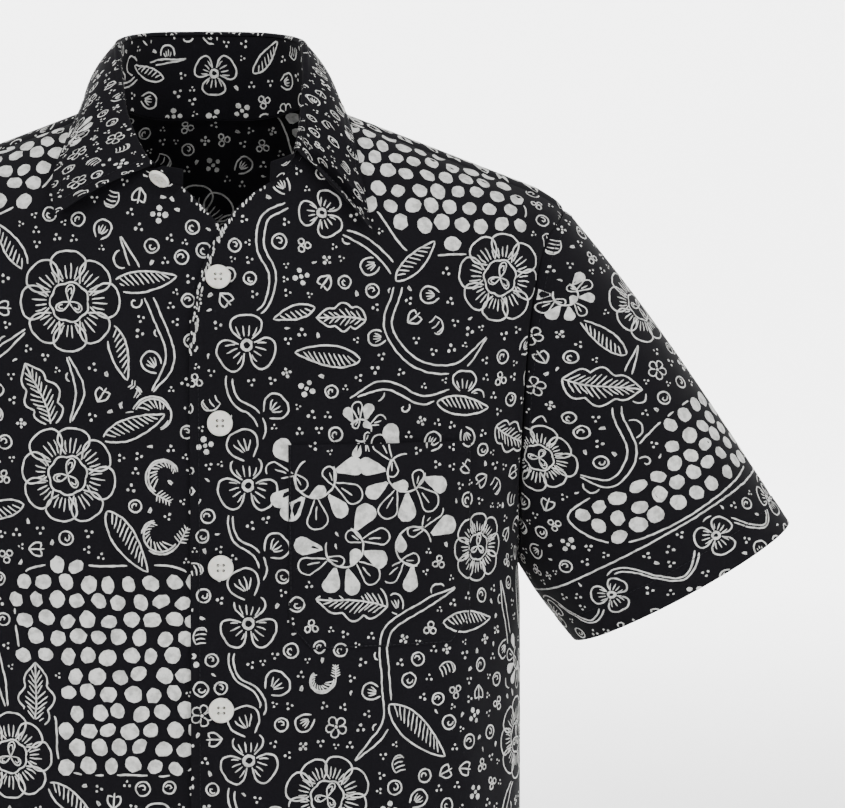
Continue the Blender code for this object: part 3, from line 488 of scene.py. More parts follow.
def draw_in(grid, closed=False):
    """The grid with its edge points drawn a little back from the seam lines."""
    result = grid.copy()
    result[0] += unit(grid[1] - grid[0]) * SEAM_GAP
    result[-1] += unit(grid[-2] - grid[-1]) * SEAM_GAP
    if not closed:
        result[:, 0] += unit(grid[:, 1] - grid[:, 0]) * SEAM_GAP
        result[:, -1] += unit(grid[:, -2] - grid[:, -1]) * SEAM_GAP
    return result


HEM_TURN = 20.0


def trunk_panel(name, places, hand):
    """A front (hand 1 or -1) or the back (hand 0) as a shell; returns it and its area in mm2."""
    x, reach = places
    normal = trunk_normal(x, reach)
    base = trunk(x, reach)
    left, right, top, bottom = edge_distance(base)
    armhole_rows = (np.arange(len(x)) < 76)[:, None]
    if hand:
        outer = right
        inner = left
        z = base[..., 2]
        opening = (z < -40.0) & (z > -150.0)
        roll = np.where(opening, 1.0, 0.25) * np.exp(-((inner - 3.2) / 2.6) ** 2) * 1.3
        relief = roll * (np.arange(len(x)) > 26)[:, None]
        relief = relief + seam_relief(outer) * np.where(armhole_rows, 1.0, 0.6)
        relief += seam_relief(top) * 0.8
    else:
        relief = (seam_relief(left) + seam_relief(right)) * np.where(armhole_rows, 1.0, 0.6)
        relief += seam_relief(top) * 0.8
    relief += hem_relief(bottom, HEM_TURN)
    face = base + normal * (lap(hand, x) + relief)[..., None]
    return shell(name, draw_in(face), normal), area_of(base)


def area_of(grid, closed=False):
    if closed:
        grid = np.concatenate([grid, grid[:, :1]], axis=1)
    across = np.diff(grid, axis=1)[:-1]
    down = np.diff(grid, axis=0)[:, :-1]
    return float(np.linalg.norm(np.cross(across, down), axis=2).sum())


# ---- sleeves ----
def rim_loop(count):
    """The armhole all round from the shoulder seam down the front and up the back."""
    share = np.linspace(0.0, 1.0, count + 1)
    x, reach = armhole(share)
    back_x, back_reach = back_armhole(share)
    return (np.concatenate([x, back_x[-2:0:-1]]), np.concatenate([-reach, back_reach[-2:0:-1]]))


def loop_turns(points):
    """Each rim point's turn: 0 where it crosses the shoulder line, 0.5 at the armpit."""
    count = len(points)
    ahead = np.linalg.norm(np.roll(points, -1, axis=0) - points, axis=1)
    length = np.concatenate([[0.0], np.cumsum(ahead)])
    total = length[-1]
    crossing = max(range(count), key=lambda i: (points[i][1] > -2.0, points[i][2]))
    bottom = int(np.argmin(points[:, 2]))
    front = (length[bottom] - length[crossing]) % total
    way = (length[:count] - length[crossing]) % total
    return np.where(way <= front, 0.5 * way / front, 0.5 + 0.5 * (way - front) / (total - front))


SLANT = unit(np.array([HEM_OUTER[0] - HEM_INNER[0], 0.0, HEM_OUTER[1] - HEM_INNER[1]]))


def hem_point(turn):
    angle = turn * 2.0 * math.pi
    middle_x = (HEM_OUTER[0] + HEM_INNER[0]) / 2
    middle_z = (HEM_OUTER[1] + HEM_INNER[1]) / 2
    x = middle_x + (HEM_OUTER[0] - middle_x) * np.cos(angle)
    z = middle_z + (HEM_OUTER[1] - middle_z) * np.cos(angle)
    return stack(x, HEM_BACKWARD - HEM_DEPTH * np.sin(angle), z)


RIM = rim_loop(120)
RIM_POINTS = trunk(*RIM)
RIM_TURNS = loop_turns(RIM_POINTS)
RIM_ORDER = np.argsort(RIM_TURNS)


def rim_at(turn):
    """The armhole's point at a turn."""
    keys = RIM_TURNS[RIM_ORDER]
    spots = RIM_POINTS[RIM_ORDER]
    keys = np.concatenate([keys - 1.0, keys, keys + 1.0])
    spots = np.concatenate([spots, spots, spots])
    turn = np.mod(turn, 1.0)
    return np.stack([np.interp(turn, keys, spots[:, k]) for k in range(3)], axis=-1)


def on_sleeve(turn, share, creased=True):
    """Points of the wearer's left sleeve's form; share runs from the armhole to the hem."""
    angle = turn * 2.0 * math.pi
    start = rim_at(turn)
    end = hem_point(turn)
    hump = np.sin(math.pi * np.clip(share, 0.0, 1.0) ** 0.75)
    point = start + (end - start) * share[..., None]
    top = np.maximum(np.cos(angle), 0.0) * SLEEVE_BULGE_TOP
    under = np.maximum(-np.cos(angle), 0.0) * SLEEVE_BULGE_UNDER
    point = point + SLANT * ((top - under) * hump)[..., None]
    point[..., 1] -= np.sin(angle) * SLEEVE_BULGE_FACE * hump
    away = SLANT * np.cos(angle)[..., None] + np.array([0.0, -1.0, 0.0]) * np.sin(angle)[..., None]
    for fold in SLEEVE_FOLDS + (SLEEVE_CREASES if creased else []):
        aside = np.mod(turn - fold.turn + 0.5, 1.0) - 0.5
        spot = (aside / fold.width) ** 2 + ((share - fold.along) / fold.length) ** 2
        point = point + away * (fold.depth * np.exp(-spot) * smooth(share * 5.0))[..., None]
    return point


def sleeve_normal(turn, share):
    step = 0.004
    around = on_sleeve(turn + step, share) - on_sleeve(turn - step, share)
    down = on_sleeve(turn, share + step) - on_sleeve(turn, share - step)
    return unit(np.cross(around, down))


SLEEVE_AROUND = 400.0


def sleeve_piece(name, hand):
    share = shares(52, 0.03)
    turn = np.arange(116) / 116.0
    across, down = np.meshgrid(turn, share)
    base = on_sleeve(across, down)
    normal = sleeve_normal(across, down)
    normal[0] = unit(normal[0] + trunk_normal_near(base[0]))
    _, _, top, bottom = edge_distance(base)
    relief = seam_relief(top) * 0.7 + hem_relief(bottom, HEM_TURN)
    under = np.mod(across, 1.0) - 0.5
    relief -= 0.4 * np.exp(-(under * SLEEVE_AROUND / 1.8) ** 2)
    face = draw_in(base + normal * relief[..., None], closed=True)
    flip = np.array([hand, 1.0, 1.0])
    return shell(name, face * flip, normal * flip, closed=True), area_of(base, closed=True)


def trunk_normal_near(points):
    """The trunk's outward direction at armhole points."""
    x = points[:, 0]
    reach = np.where(points[:, 1] < 0, -1.0, 1.0) * drop_to_reach(shoulder_line(x) - points[:, 2])
    return trunk_normal(x, reach)


# ---- collar: stand and fall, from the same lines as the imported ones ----
def table_point(table, place):
    """Points of a collar line at signed places; the last rows differ by side."""
    hand = np.where(place >= 0, 1.0, -1.0)
    size = np.abs(place)
    return stack(hand * curve(table, "place", "x")(size), curve(table, "place", "y")(size),
                 curve(table, "place", "z")(size))


def by_side(place, common, left, right):
    return np.where((place >= 0)[..., None], table_point(common + left, place),
                    table_point(common + right, place))


def top_point(place):
    return by_side(place, COLLAR_TOP, COLLAR_TOP_LEFT, COLLAR_TOP_RIGHT)


def fall_edge(place):
    return by_side(place, FALL_EDGE, FALL_EDGE_LEFT, FALL_EDGE_RIGHT)


def neck_base(place):
    """Neckline points at signed places."""
    size = np.abs(place)
    hand = np.where(place >= 0, 1.0, -1.0)
    x = curve(NECKLINE_BACK, "place", "x")(size)
    reach = curve(NECKLINE_BACK, "place", "reach")(size)
    for side, table in ((1.0, NECKLINE_LEFT), (-1.0, NECKLINE_RIGHT)):
        dip_x = curve(table, "place", "x")(size)
        dip_z = curve(table, "place", "z")(size)
        ahead = (size > SEAM_PLACE) & (hand == side)
        x = np.where(ahead, dip_x, x)
        reach = np.where(ahead, on_form(dip_x, dip_z, -1.0), reach)
    normal = trunk_normal(hand * x, reach)
    lift = np.where((hand > 0) & (size > SEAM_PLACE), LAP_STEP, 0.0)
    fade = 1.0 - smooth((hand * x - 2.0 * LAP_HALF) / LAP_FADE)
    return trunk(hand * x, reach) + normal * (lift * fade)[..., None], normal


def roll_frame(place, base):
    step = 0.01
    ahead = unit(top_point(place + step) - top_point(place - step))
    up = top_point(place) - base
    up = unit(up - ahead * (up * ahead).sum(axis=-1, keepdims=True))
    return ahead, up, np.cross(up, ahead)


def stand_piece(name):
    place = np.linspace(-1.0, 1.0, 161)
    base, normal = neck_base(place)
    _, up, out = roll_frame(place, base)
    clear = np.where(np.abs(place) > ROLL_END - 0.08, 1.5, 0.6)[:, None]
    under = top_point(place) - up * (FALL_ROLL + clear) - out * (FALL_ROLL - 1.2)
    free = np.clip((np.abs(place) - ROLL_END) / 0.03, 0.0, 1.0)[:, None]
    top = under + (top_point(place) - under) * free
    share = shares(10, 0.1)[:, None, None]
    grid = base + (top - base) * share
    own = grid_normals(grid)
    if (own[3, 80] * out[80]).sum() < 0:
        own = -own
    own[0] = unit(normal + own[0])
    face = draw_in(grid)
    return shell(name, face, own), area_of(grid)


def fall_grid():
    """The fall: over the roll, then down its bowed outer face; the last columns square it off."""
    place = np.linspace(-ROLL_END, ROLL_END, 169)
    base, _ = neck_base(place)
    ahead, up, out = roll_frame(place, base)
    centre = top_point(place) - up * FALL_ROLL
    lines = []
    for share in np.linspace(0.0, 1.0, 9):
        angle = math.pi * (1.0 - share)
        lines.append(centre + (out * math.cos(angle) + up * math.sin(angle)) * FALL_ROLL)
    start = lines[-1]
    end = fall_edge(place)
    swell = unit(np.cross(end - start, ahead))
    swell = swell * np.where((swell * out).sum(axis=-1) > 0, 1.0, -1.0)[:, None]
    for share in shares(22, 0.06)[1:]:
        lines.append(start + (end - start) * share + swell * (FALL_BOW * math.sin(math.pi * share)))
    return np.array(lines)


def fall_relief(grid):
    """Stitching a presser foot's width in from the free edges draws a shallow groove."""
    left, right, _, bottom = edge_distance(grid)
    rim = np.minimum(np.minimum(left, right), bottom)
    return 0.25 * np.exp(-(rim / 2.0) ** 2) - 0.35 * np.exp(-((rim - 6.0) / 1.4) ** 2)


FALL = fall_grid()
FALL_NORMAL = grid_normals(FALL)
if FALL_NORMAL[20, 84] @ np.array([0.0, 1.0, 0.0]) < 0:
    FALL_NORMAL = -FALL_NORMAL
FALL_FACE = FALL + FALL_NORMAL * fall_relief(FALL)[..., None]


# ---- pocket ----
def pocket_grid():
    down = shares(30, 0.03)
    share = shares(30, 0.03)
    across, fall = np.meshgrid(share, down)
    z = POCKET_TOP_Z - POCKET_HEIGHT * fall
    corner = POCKET_CORNER * np.maximum(fall * 8.0 - 7.0, 0.0)
    x = POCKET_LEFT + corner + (POCKET_WIDTH - 2.0 * corner) * across
    reach = on_form(x, z, -1.0)
    return x, reach


def pocket_piece(name):
    x, reach = pocket_grid()
    normal = trunk_normal(x, reach)
    base = trunk(x, reach)
    left, right, top, bottom = edge_distance(base)
    rim = np.minimum(np.minimum(left, right), bottom)
    puff = 1.2 * smooth(rim / 22.0) * smooth(bottom / 30.0)
    relief = puff + hem_relief(top, 22.0) - 0.8 * np.exp(-(rim / 2.0) ** 2) + 1.4
    face = base + normal * (lap(1.0, x) + relief)[..., None]
    return shell(name, face, normal), area_of(base)


# ---- the print: resist lines and spots drawn in flat cloth coordinates (mm, t downward) ----
LINE = 1.08
THIN = 0.86
STEP = 1.7


def resample(points, step=STEP):
    points = np.asarray(points, float)
    gaps = np.linalg.norm(np.diff(points, axis=0), axis=1)
    length = np.concatenate([[0.0], np.cumsum(gaps)])
    count = max(int(round(length[-1] / step)), 2)
    at = np.linspace(0.0, length[-1], count + 1)
    return np.stack([np.interp(at, length, points[:, k]) for k in range(2)], axis=-1)


def spline(points, closed=False):
    """A smooth curve through the points."""
    points = np.asarray(points, float)
    if closed:
        padded = np.concatenate([points[-1:], points, points[:2]])
    else:
        padded = np.concatenate([2 * points[:1] - points[1:2], points, 2 * points[-1:] - points[-2:-1]])
    t = np.linspace(0.0, 1.0, 9)[:-1, None]
    parts = []
    for a, b, c, d in zip(padded, padded[1:], padded[2:], padded[3:]):
        parts.append(0.5 * (2 * b + (c - a) * t + (2 * a - 5 * b + 4 * c - d) * t ** 2
                            + (3 * b - a - 3 * c + d) * t ** 3))
    return np.concatenate(parts + [padded[-2:-1]])


def circle(x, y, r, sides=14, start=0.0, end=2.0 * math.pi, flat=1.0, turn=0.0):
    angle = np.linspace(start, end, sides + 1)
    a, b = r * np.cos(angle), r * flat * np.sin(angle)
    return np.stack([x + a * math.cos(turn) - b * math.sin(turn),
                     y + a * math.sin(turn) + b * math.cos(turn)], axis=-1)


class Shapes:
    """Strokes and filled spots of one motif, in its own frame, then placed."""

    def __init__(self):
        self.strokes = []
        self.spots = []

    def line(self, points, width=LINE):
        self.strokes.append((np.asarray(points, float), width))

    def spot(self, points):
        self.spots.append(np.asarray(points, float))

    def placed(self, x, y, turn=0.0, size=1.0, flip=1.0):
        c, s = math.cos(turn) * size, math.sin(turn) * size
        matrix = np.array([[c * flip, s * flip], [-s, c]])
        moved = Shapes()
        moved.strokes = [(points @ matrix + (x, y), width) for points, width in self.strokes]
        moved.spots = [points @ matrix + (x, y) for points in self.spots]
        return moved

    def take(self, other):
        self.strokes += other.strokes
        self.spots += other.spots


def lobe(angle, base, tip, half):
    """A round petal's outline from its foot, over its tip and back."""
    long = tip - base
    side = [(base, 0.34), (base + long * 0.34, 0.92), (base + long * 0.72, 1.0), (tip * 0.97, 0.55)]
    rows = [(d, -w) for d, w in side] + [(tip, 0.0)] + side[::-1]
    return spline(turned(np.array([(d, w * half) for d, w in rows]), angle))


def veins(rng, motif, angle, start, end, half, lines):
    """Short strokes along a petal, fanning a little."""
    for i in range(lines):
        w = (i - (lines - 1) / 2.0) / max(lines - 1, 1) * 2.0
        far = end * rng.uniform(0.86, 1.0) - abs(w) * (end - start) * 0.28
        aside = w * half
        points = np.array([(start, aside * 0.42), ((start + far) / 2, aside * 0.6), (far, aside * 0.7)])
        motif.line(spline(turned(points, angle)), THIN)


def rose(rng, radius, lead=-90.0):
    """The vine's three-petalled flower with a dark eye."""
    motif = Shapes()
    for step in (0.0, 118.0, 242.0):
        a = math.radians(lead + step) + rng.uniform(-0.08, 0.08)
        r = radius * rng.uniform(0.92, 1.04)
        motif.line(lobe(a, r * 0.2, r, r * 0.52))
        veins(rng, motif, a, r * 0.3, r * 0.74, r * 0.5, 4)
    motif.line(circle(0, 0, radius * 0.17, 12), 1.9)
    return motif


def flower(rng, radius, petals, lines=4):
    """A many-petalled bloom round a scalloped cup with a furled heart."""
    motif = Shapes()
    wide = math.pi / petals
    cup = radius * 0.4
    for k in range(petals):
        a = 2.0 * wide * k + rng.uniform(-0.05, 0.05)
        r = radius * rng.uniform(0.92, 1.03)
        motif.line(lobe(a, cup * 1.02, r, r * 0.8 * math.tan(wide)))
        veins(rng, motif, a, cup * 1.14, r * 0.84, r * 0.62 * math.tan(wide), lines)
    around = np.linspace(0.0, 2.0 * math.pi, 61)
    edge = cup * (0.9 + 0.1 * np.abs(np.sin(around * 3.5)))
    motif.line(polar(edge, around))
    for a, size in ((-1.57, 0.95), (0.55, 0.8), (2.6, 0.8)):
        shape = drop_outline(cup * size, cup * 0.3, 0.1) * 0.92
        motif.line(turned(np.concatenate([shape, shape[:1]]), a), THIN)
        motif.line(turned(shape[3:11] * 0.55 + (cup * 0.2, 0.0), a), 0.85)
    return motif


def small_flower(rng, radius):
    motif = Shapes()
    for k in range(5):
        a = 2.0 * math.pi * k / 5 + rng.uniform(-0.1, 0.1)
        motif.line(lobe(a, radius * 0.22, radius, radius * 0.36), THIN)
    motif.spot(circle(0, 0, radius * 0.16, 7)[:-1])
    return motif


def leaf(length, width, bend=0.25, lobed=False):
    """A pointed leaf along +x; ribs comb from its spine, on one side only unless it is lobed."""
    motif = Shapes()
    t = np.linspace(0.0, 1.0, 33)
    spine = np.stack([length * t, bend * length * np.sin(t * math.pi / 2) * t], axis=-1)
    side = unit(np.gradient(spine, axis=0))
    side = np.stack([-side[:, 1], side[:, 0]], axis=-1)
    half = width * np.sin(math.pi * t ** 0.8) ** 0.8
    if lobed:
        half = half * (0.78 + 0.42 * np.abs(np.sin(t * math.pi * 3.0 + 0.2)))
    for sign in (1.0, -1.0):
        share = sign if lobed else (1.0 if sign > 0 else -0.55)
        outline = spine + side * (half * share)[:, None]
        outline[-1] = spine[-1]
        motif.line(outline)
        if not lobed and sign < 0:
            continue
        count = max(int(length / 3.6), 4)
        for k in range(1, count):
            a = k / count * 0.84
            b = min(a + 0.12, 0.96)
            foot = spine + side * (half * (0.06 if lobed else -0.45) * sign)[:, None]
            edge = spine + side * (half * sign * (0.62 if lobed else 0.42))[:, None]
            start = [np.interp(a * 32, range(33), foot[:, c]) for c in range(2)]
            end = [np.interp(b * 32, range(33), edge[:, c]) for c in range(2)]
            motif.line([start, end], THIN)
    if lobed:
        motif.line(spine)
    return motif


def fan(rng, size, rays=4, open_by=0.5):
    """A rounded shell of a leaf along +x with curved strokes inside."""
    motif = Shapes()
    motif.line(lobe(0.0, size * 0.04, size, size * open_by * 0.8))
    for k in range(rays):
        w = (k - (rays - 1) / 2.0) / (rays - 1) * 2.0
        far = size * (0.82 - 0.14 * abs(w)) * rng.uniform(0.9, 1.0)
        motif.line(spline([(size * 0.3, w * size * open_by * 0.12), (size * 0.55, w * size * open_by * 0.42),
                           (far, w * size * open_by * 0.46)]), THIN)
    return motif


def drop_outline(length, width, hook=0.15):
    t = np.linspace(0.0, 2.0 * math.pi, 15)[:-1]
    x = length * (0.5 - 0.5 * np.cos(t))
    y = width * np.sin(t) * (0.5 - 0.5 * np.cos(t)) ** 0.6
    return np.stack([x, y + hook * length * (x / length) ** 2], axis=-1)


def pinwheel(rng, size, drops):
    """A coiling spray: club-shaped buds, most of them filled, on both sides of a curled stem."""
    motif = Shapes()
    bow = size * 0.5
    start = rng.uniform(0.0, 6.28)
    sweep = 4.7
    angle = np.linspace(start, start + sweep, 26)
    reach = bow * np.linspace(1.0, 0.86, 26)
    motif.line(polar(reach, angle))
    for k in range(drops):
        a = start + sweep * (k + 0.4) / drops
        tilt = a + rng.uniform(-0.25, 0.25)
        length = size * rng.uniform(0.58, 0.7)
        add_club(rng, motif, (bow * math.cos(a), bow * math.sin(a)), tilt, length, k % 5 not in (1, 3))
    for k in range(3):
        a = start + sweep * (k + 0.6) / 3.2
        add_club(rng, motif, (bow * 0.95 * math.cos(a), bow * 0.95 * math.sin(a)), a + math.pi + 0.7,
                 size * 0.42, k == 1)
    return motif


def add_club(rng, motif, foot, turn, length, filled):
    """A plump bud, filled or drawn open with one vein."""
    outline = [(0.0, -0.16), (0.36, -0.6), (0.74, -1.0), (0.98, -0.6), (1.03, 0.0), (0.96, 0.6), (0.74, 1.0),
               (0.36, 0.62), (0.0, 0.16)]
    wide = length * rng.uniform(0.3, 0.37)
    shape = spline([(u * length, v * wide + 0.25 * wide * u * u) for u, v in outline])
    club = Shapes()
    if filled:
        club.spot(shape[::3])
    else:
        club.line(shape, THIN)
        club.line([(length * 0.25, 0.3), (length * 0.7, wide * 0.3)], THIN)
    motif.take(club.placed(foot[0], foot[1], turn))


def coil(rng, r):
    """A ring with a little hook inside."""
    motif = Shapes()
    motif.line(circle(0, 0, r, 13), 1.05)
    start = rng.uniform(0.0, 6.0)
    angle = np.linspace(start, start + 4.6, 8)
    reach = r * np.linspace(0.62, 0.14, 8)
    motif.line(polar(reach, angle), 1.0)
    return motif


def feather(size):
    """A plume curled into a crescent: a double spine with combed strokes inside and a frond at its foot."""
    motif = Shapes()
    angle = np.linspace(0.0, 3.9, 24)
    for scale in (1.0, 0.88):
        reach = size * scale * np.linspace(1.0, 0.62, 24)
        motif.line(polar(reach, angle))
    for k in range(1, 23, 2):
        a = angle[k]
        r = size * (0.84 - 0.012 * k)
        inner = r * (0.42 + 0.012 * k)
        motif.line(spline([(r * math.cos(a), r * math.sin(a)),
                           ((r + inner) / 2 * math.cos(a + 0.16), (r + inner) / 2 * math.sin(a + 0.16)),
                           (inner * math.cos(a + 0.42), inner * math.sin(a + 0.42))]), THIN)
    for k in range(5):
        y = -size * (0.12 + 0.16 * k)
        for sign in (1.0, -1.0):
            motif.line([(size * 0.96, y), (size * (0.96 + sign * (0.3 - 0.03 * k)), y - size * 0.14)], THIN)
    motif.line([(size, 0.0), (size * 0.96, -size * 0.9)], THIN)
    return motif


def tendril(size):
    motif = Shapes()
    angle = np.linspace(-0.5, 5.2, 20)
    reach = size * np.linspace(0.5, 0.1, 20)
    curl = np.stack([size * 0.62 + reach * np.cos(angle + 3.6), reach * np.sin(angle + 3.6)], axis=-1)
    motif.line(np.concatenate([[(0.0, 0.0)], curl]), 1.1)
    return motif


def trefoil(r):
    motif = Shapes()
    for k in range(3):
        a = 2.0 * math.pi * k / 3
        motif.line(circle(r * 0.56 * math.cos(a), r * 0.56 * math.sin(a), r * 0.42, 9), 1.0)
    return motif


def dots(rng, r, count):
    motif = Shapes()
    if count == 5:
        motif.spot(circle(0, 0, r * 0.22, 6)[:-1])
    around = 3 if count == 3 else 4
    for k in range(around):
        a = 2.0 * math.pi * k / around
        x, y = r * 0.62 * math.cos(a), r * 0.62 * math.sin(a)
        motif.spot(circle(x, y, r * rng.uniform(0.24, 0.32), 7)[:-1])
    return motif


def scribble(rng, r):
    """Three or four parallel strokes closed by a bow."""
    motif = Shapes()
    count = rng.choice((3, 4))
    for k in range(count):
        x = (k / (count - 1) - 0.6) * r * 1.3
        end = r * rng.uniform(0.4, 0.6)
        motif.line(spline([(x, -r * 0.5), (x + r * 0.12, 0.0), (x + r * 0.04, end)]), THIN)
    bow = [(-0.8, -0.5), (0.0, -0.72), (0.75, -0.3), (0.8, 0.4), (0.4, 0.62)]
    motif.line(spline([(x * r, y * r) for x, y in bow]), THIN)
    return motif


def seed(rng, r):
    motif = Shapes()
    shape = drop_outline(r * 2.0, r * 0.55) - (r, 0.0)
    if rng.random() < 0.4:
        motif.spot(shape)
    else:
        motif.line(np.concatenate([shape, shape[:1]]), 1.0)
    return motif


def bud(r):
    """Two curled petals and a short stalk."""
    motif = Shapes()
    for sign in (1.0, -1.0):
        curl = [(-1.0, 0.0), (-0.2, 0.75), (0.6, 0.7), (0.45, 0.15)]
        motif.line(spline([(x * r, y * sign * r) for x, y in curl]), 1.05)
    motif.line([(-r, 0.0), (r * 0.9, 0.0)], 1.0)
    return motif


class Cloth:
    """One panel's drawing: later motifs stop where earlier ones already are."""

    def __init__(self, low, high, seed_number):
        self.rng = random.Random(seed_number)
        self.low = np.asarray(low, float)
        size = np.ceil(np.asarray(high, float) - self.low).astype(int) + 1
        self.size = size
        self.taken = np.zeros(size, bool)
        self.strokes = []
        self.spots = []

    def cell(self, points):
        return np.clip((points - self.low).astype(int), 0, self.size - 1)

    def mark(self, points, reach):
        for i, j in self.cell(points):
            self.taken[max(i - reach, 0):i + reach + 1, max(j - reach, 0):j + reach + 1] = True

    def mark_disc(self, x, y, r):
        i0, j0 = self.cell(np.array([[x - r, y - r]]))[0]
        i1, j1 = self.cell(np.array([[x + r, y + r]]))[0]
        i, j = np.mgrid[i0:i1 + 1, j0:j1 + 1]
        inside = (i + self.low[0] - x) ** 2 + (j + self.low[1] - y) ** 2 <= r * r
        self.taken[i0:i1 + 1, j0:j1 + 1] |= inside

    def is_free(self, x, y, r):
        i0, j0 = self.cell(np.array([[x - r, y - r]]))[0]
        i1, j1 = self.cell(np.array([[x + r, y + r]]))[0]
        return not self.taken[i0:i1 + 1, j0:j1 + 1].any()

    def add(self, motif, reach=2):
        kept = []
        for points, width in motif.strokes:
            points = resample(points)
            cells = self.cell(points)
            free = ~self.taken[cells[:, 0], cells[:, 1]]
            run = []
            for point, is_open in zip(points, free):
                if is_open:
                    run.append(point)
                elif run:
                    kept.append((np.array(run), width))
                    run = []
            if run:
                kept.append((np.array(run), width))
        kept = [(points, width) for points, width in kept if len(points) > 2]
        spots = []
        for points in motif.spots:
            i, j = self.cell(points.mean(axis=0)[None])[0]
            if not self.taken[i, j]:
                spots.append(points)
        self.strokes += kept
        self.spots += spots
        for points, _ in kept:
            self.mark(points, reach)
        for points in spots:
            middle = points.mean(axis=0)
            self.mark(resample(np.concatenate([points, points[:1]])), reach)
            self.mark(points * 0.5 + middle * 0.5, 2)

    def stem(self, points, gap=5.2, curls=True):
        """A double-line stem, with curls and small leaves along it."""
        path = resample(spline(points), 2.0)
        side = unit(np.gradient(path, axis=0))
        side = np.stack([-side[:, 1], side[:, 0]], axis=-1)
        pair = Shapes()
        run = np.linspace(0.0, 1.0, len(path))
        if curls:
            swell = np.minimum(np.minimum(run, 1.0 - run) * len(path) / 9.0, 1.0)
        else:
            swell = 0.85 + 0.3 * np.sin(run * 40.0)
        for sign in (-0.5, 0.5):
            pair.line(path + side * (gap * sign * (0.12 + 0.88 * swell))[:, None], LINE)
        self.add(pair, 1)
        self.mark(path, 2)
        if not curls:
            return
        for k in range(7, len(path) - 6, 13):
            sign = 1.0 if (k // 13) % 2 else -1.0
            spot = path[k] + side[k] * (gap * 0.5 + 0.6) * sign
            turn = math.atan2(side[k][1] * sign, side[k][0] * sign) + self.rng.uniform(-0.6, 0.6)
            if self.rng.random() < 0.5:
                grown = fan(self.rng, self.rng.uniform(11.0, 15.0))
            else:
                grown = tendril(self.rng.uniform(8.0, 11.0))
            self.add(grown.placed(spot[0], spot[1], turn, 1.0, sign))

    def patch(self, corners, pitch=13.3):
        """A field of filled ovals inside an outline."""
        outline = spline(corners, closed=True)
        rows = np.arange(outline[:, 1].min(), outline[:, 1].max(), pitch * 0.86)
        field = Shapes()
        for n, y in enumerate(rows):
            for x in np.arange(outline[:, 0].min() + (n % 2) * pitch / 2, outline[:, 0].max(), pitch):
                x2, y2 = x + self.rng.uniform(-1.5, 1.5), y + self.rng.uniform(-1.5, 1.5)
                if inside(outline, x2, y2) and self.is_free(x2, y2, 3.5):
                    oval = circle(x2, y2, self.rng.uniform(4.8, 5.6), 12,
                                  flat=self.rng.uniform(0.76, 0.95), turn=self.rng.uniform(0.0, 3.1))
                    dents = [[self.rng.uniform(-0.4, 0.4) for _ in range(2)] for _ in range(12)]
                    field.spot(oval[:-1] + np.array(dents))
        self.add(field, 1)
        edge = Shapes()
        edge.line(np.concatenate([outline, outline[:1]]) * 1.0, 1.2)
        self.add(edge, 1)

    def fill(self, crowd=1.0):
        """Small motifs in whatever ground is still free, larger ones first."""
        span = self.size.astype(float)
        area = span[0] * span[1]
        makers = {
            8.4: (lambda r: dots(self.rng, r * 0.75, 5),
                  lambda r: fan(self.rng, r * 1.5).placed(-r * 0.75, 0.0),
                  lambda r: scribble(self.rng, r * 0.75), lambda r: small_flower(self.rng, r * 0.8)),
            6.6: (lambda r: coil(self.rng, r * 0.66), lambda r: coil(self.rng, r * 0.7),
                  lambda r: coil(self.rng, r * 0.64),
                  lambda r: trefoil(r * 0.72), lambda r: bud(r * 0.8)),
            5.2: (lambda r: dots(self.rng, r * 0.68, 3), lambda r: dots(self.rng, r * 0.7, 5),
                  lambda r: coil(self.rng, r * 0.76), lambda r: dots(self.rng, r * 0.66, 3)),
            3.7: (lambda r: dots(self.rng, r * 0.8, 3),),
            2.9: (lambda r: dots(self.rng, r * 0.8, 3), lambda r: seed(self.rng, r * 0.6)),
        }
        for r, choices in makers.items():
            tries = int(crowd * area / (r * r) * (0.2 if r > 8.0 else 0.9))
            for _ in range(tries):
                x = self.low[0] + self.rng.uniform(0.0, span[0])
                y = self.low[1] + self.rng.uniform(0.0, span[1])
                if not self.is_free(x, y, r):
                    continue
                make = choices[self.rng.randrange(len(choices))]
                self.add(make(r).placed(x, y, self.rng.uniform(0.0, 6.28)), 1)
                self.mark_disc(x, y, r * 0.9)


def inside(outline, x, y):
    a = outline
    b = np.roll(outline, -1, axis=0)
    cross = (a[:, 1] > y) != (b[:, 1] > y)
    at = a[:, 0] + (y - a[:, 1]) / np.where(cross, b[:, 1] - a[:, 1], 1.0) * (b[:, 0] - a[:, 0])
    return bool((cross & (x < at)).sum() % 2)


Motif = namedtuple("Motif", "kind s t size turn")


DRAWN = {
    "leaf": lambda rng, size: leaf(size, size * 0.21),
    "plume": lambda rng, size: leaf(size, size * 0.25, -0.3, True),
    "fan": fan,
    "wheel": lambda rng, size: pinwheel(rng, size, 8),
    "feather": lambda rng, size: feather(size),
    "bloom": lambda rng, size: flower(rng, size, 8, 4),
}
BLOOM_KEEPS = 0.96       # how much of its radius a flower keeps clear of later motifs
ROSE_KEEPS = 0.8


def draw_motifs(cloth, rows):
    for row in rows:
        if row.kind == "rose":
            cloth.add(rose(cloth.rng, row.size, row.turn - 90.0).placed(row.s, row.t))
            cloth.mark_disc(row.s, row.t, row.size * ROSE_KEEPS)
            continue
        cloth.add(DRAWN[row.kind](cloth.rng, row.size).placed(row.s, row.t, math.radians(row.turn)))
        if row.kind == "bloom":
            cloth.mark_disc(row.s, row.t, row.size * BLOOM_KEEPS)


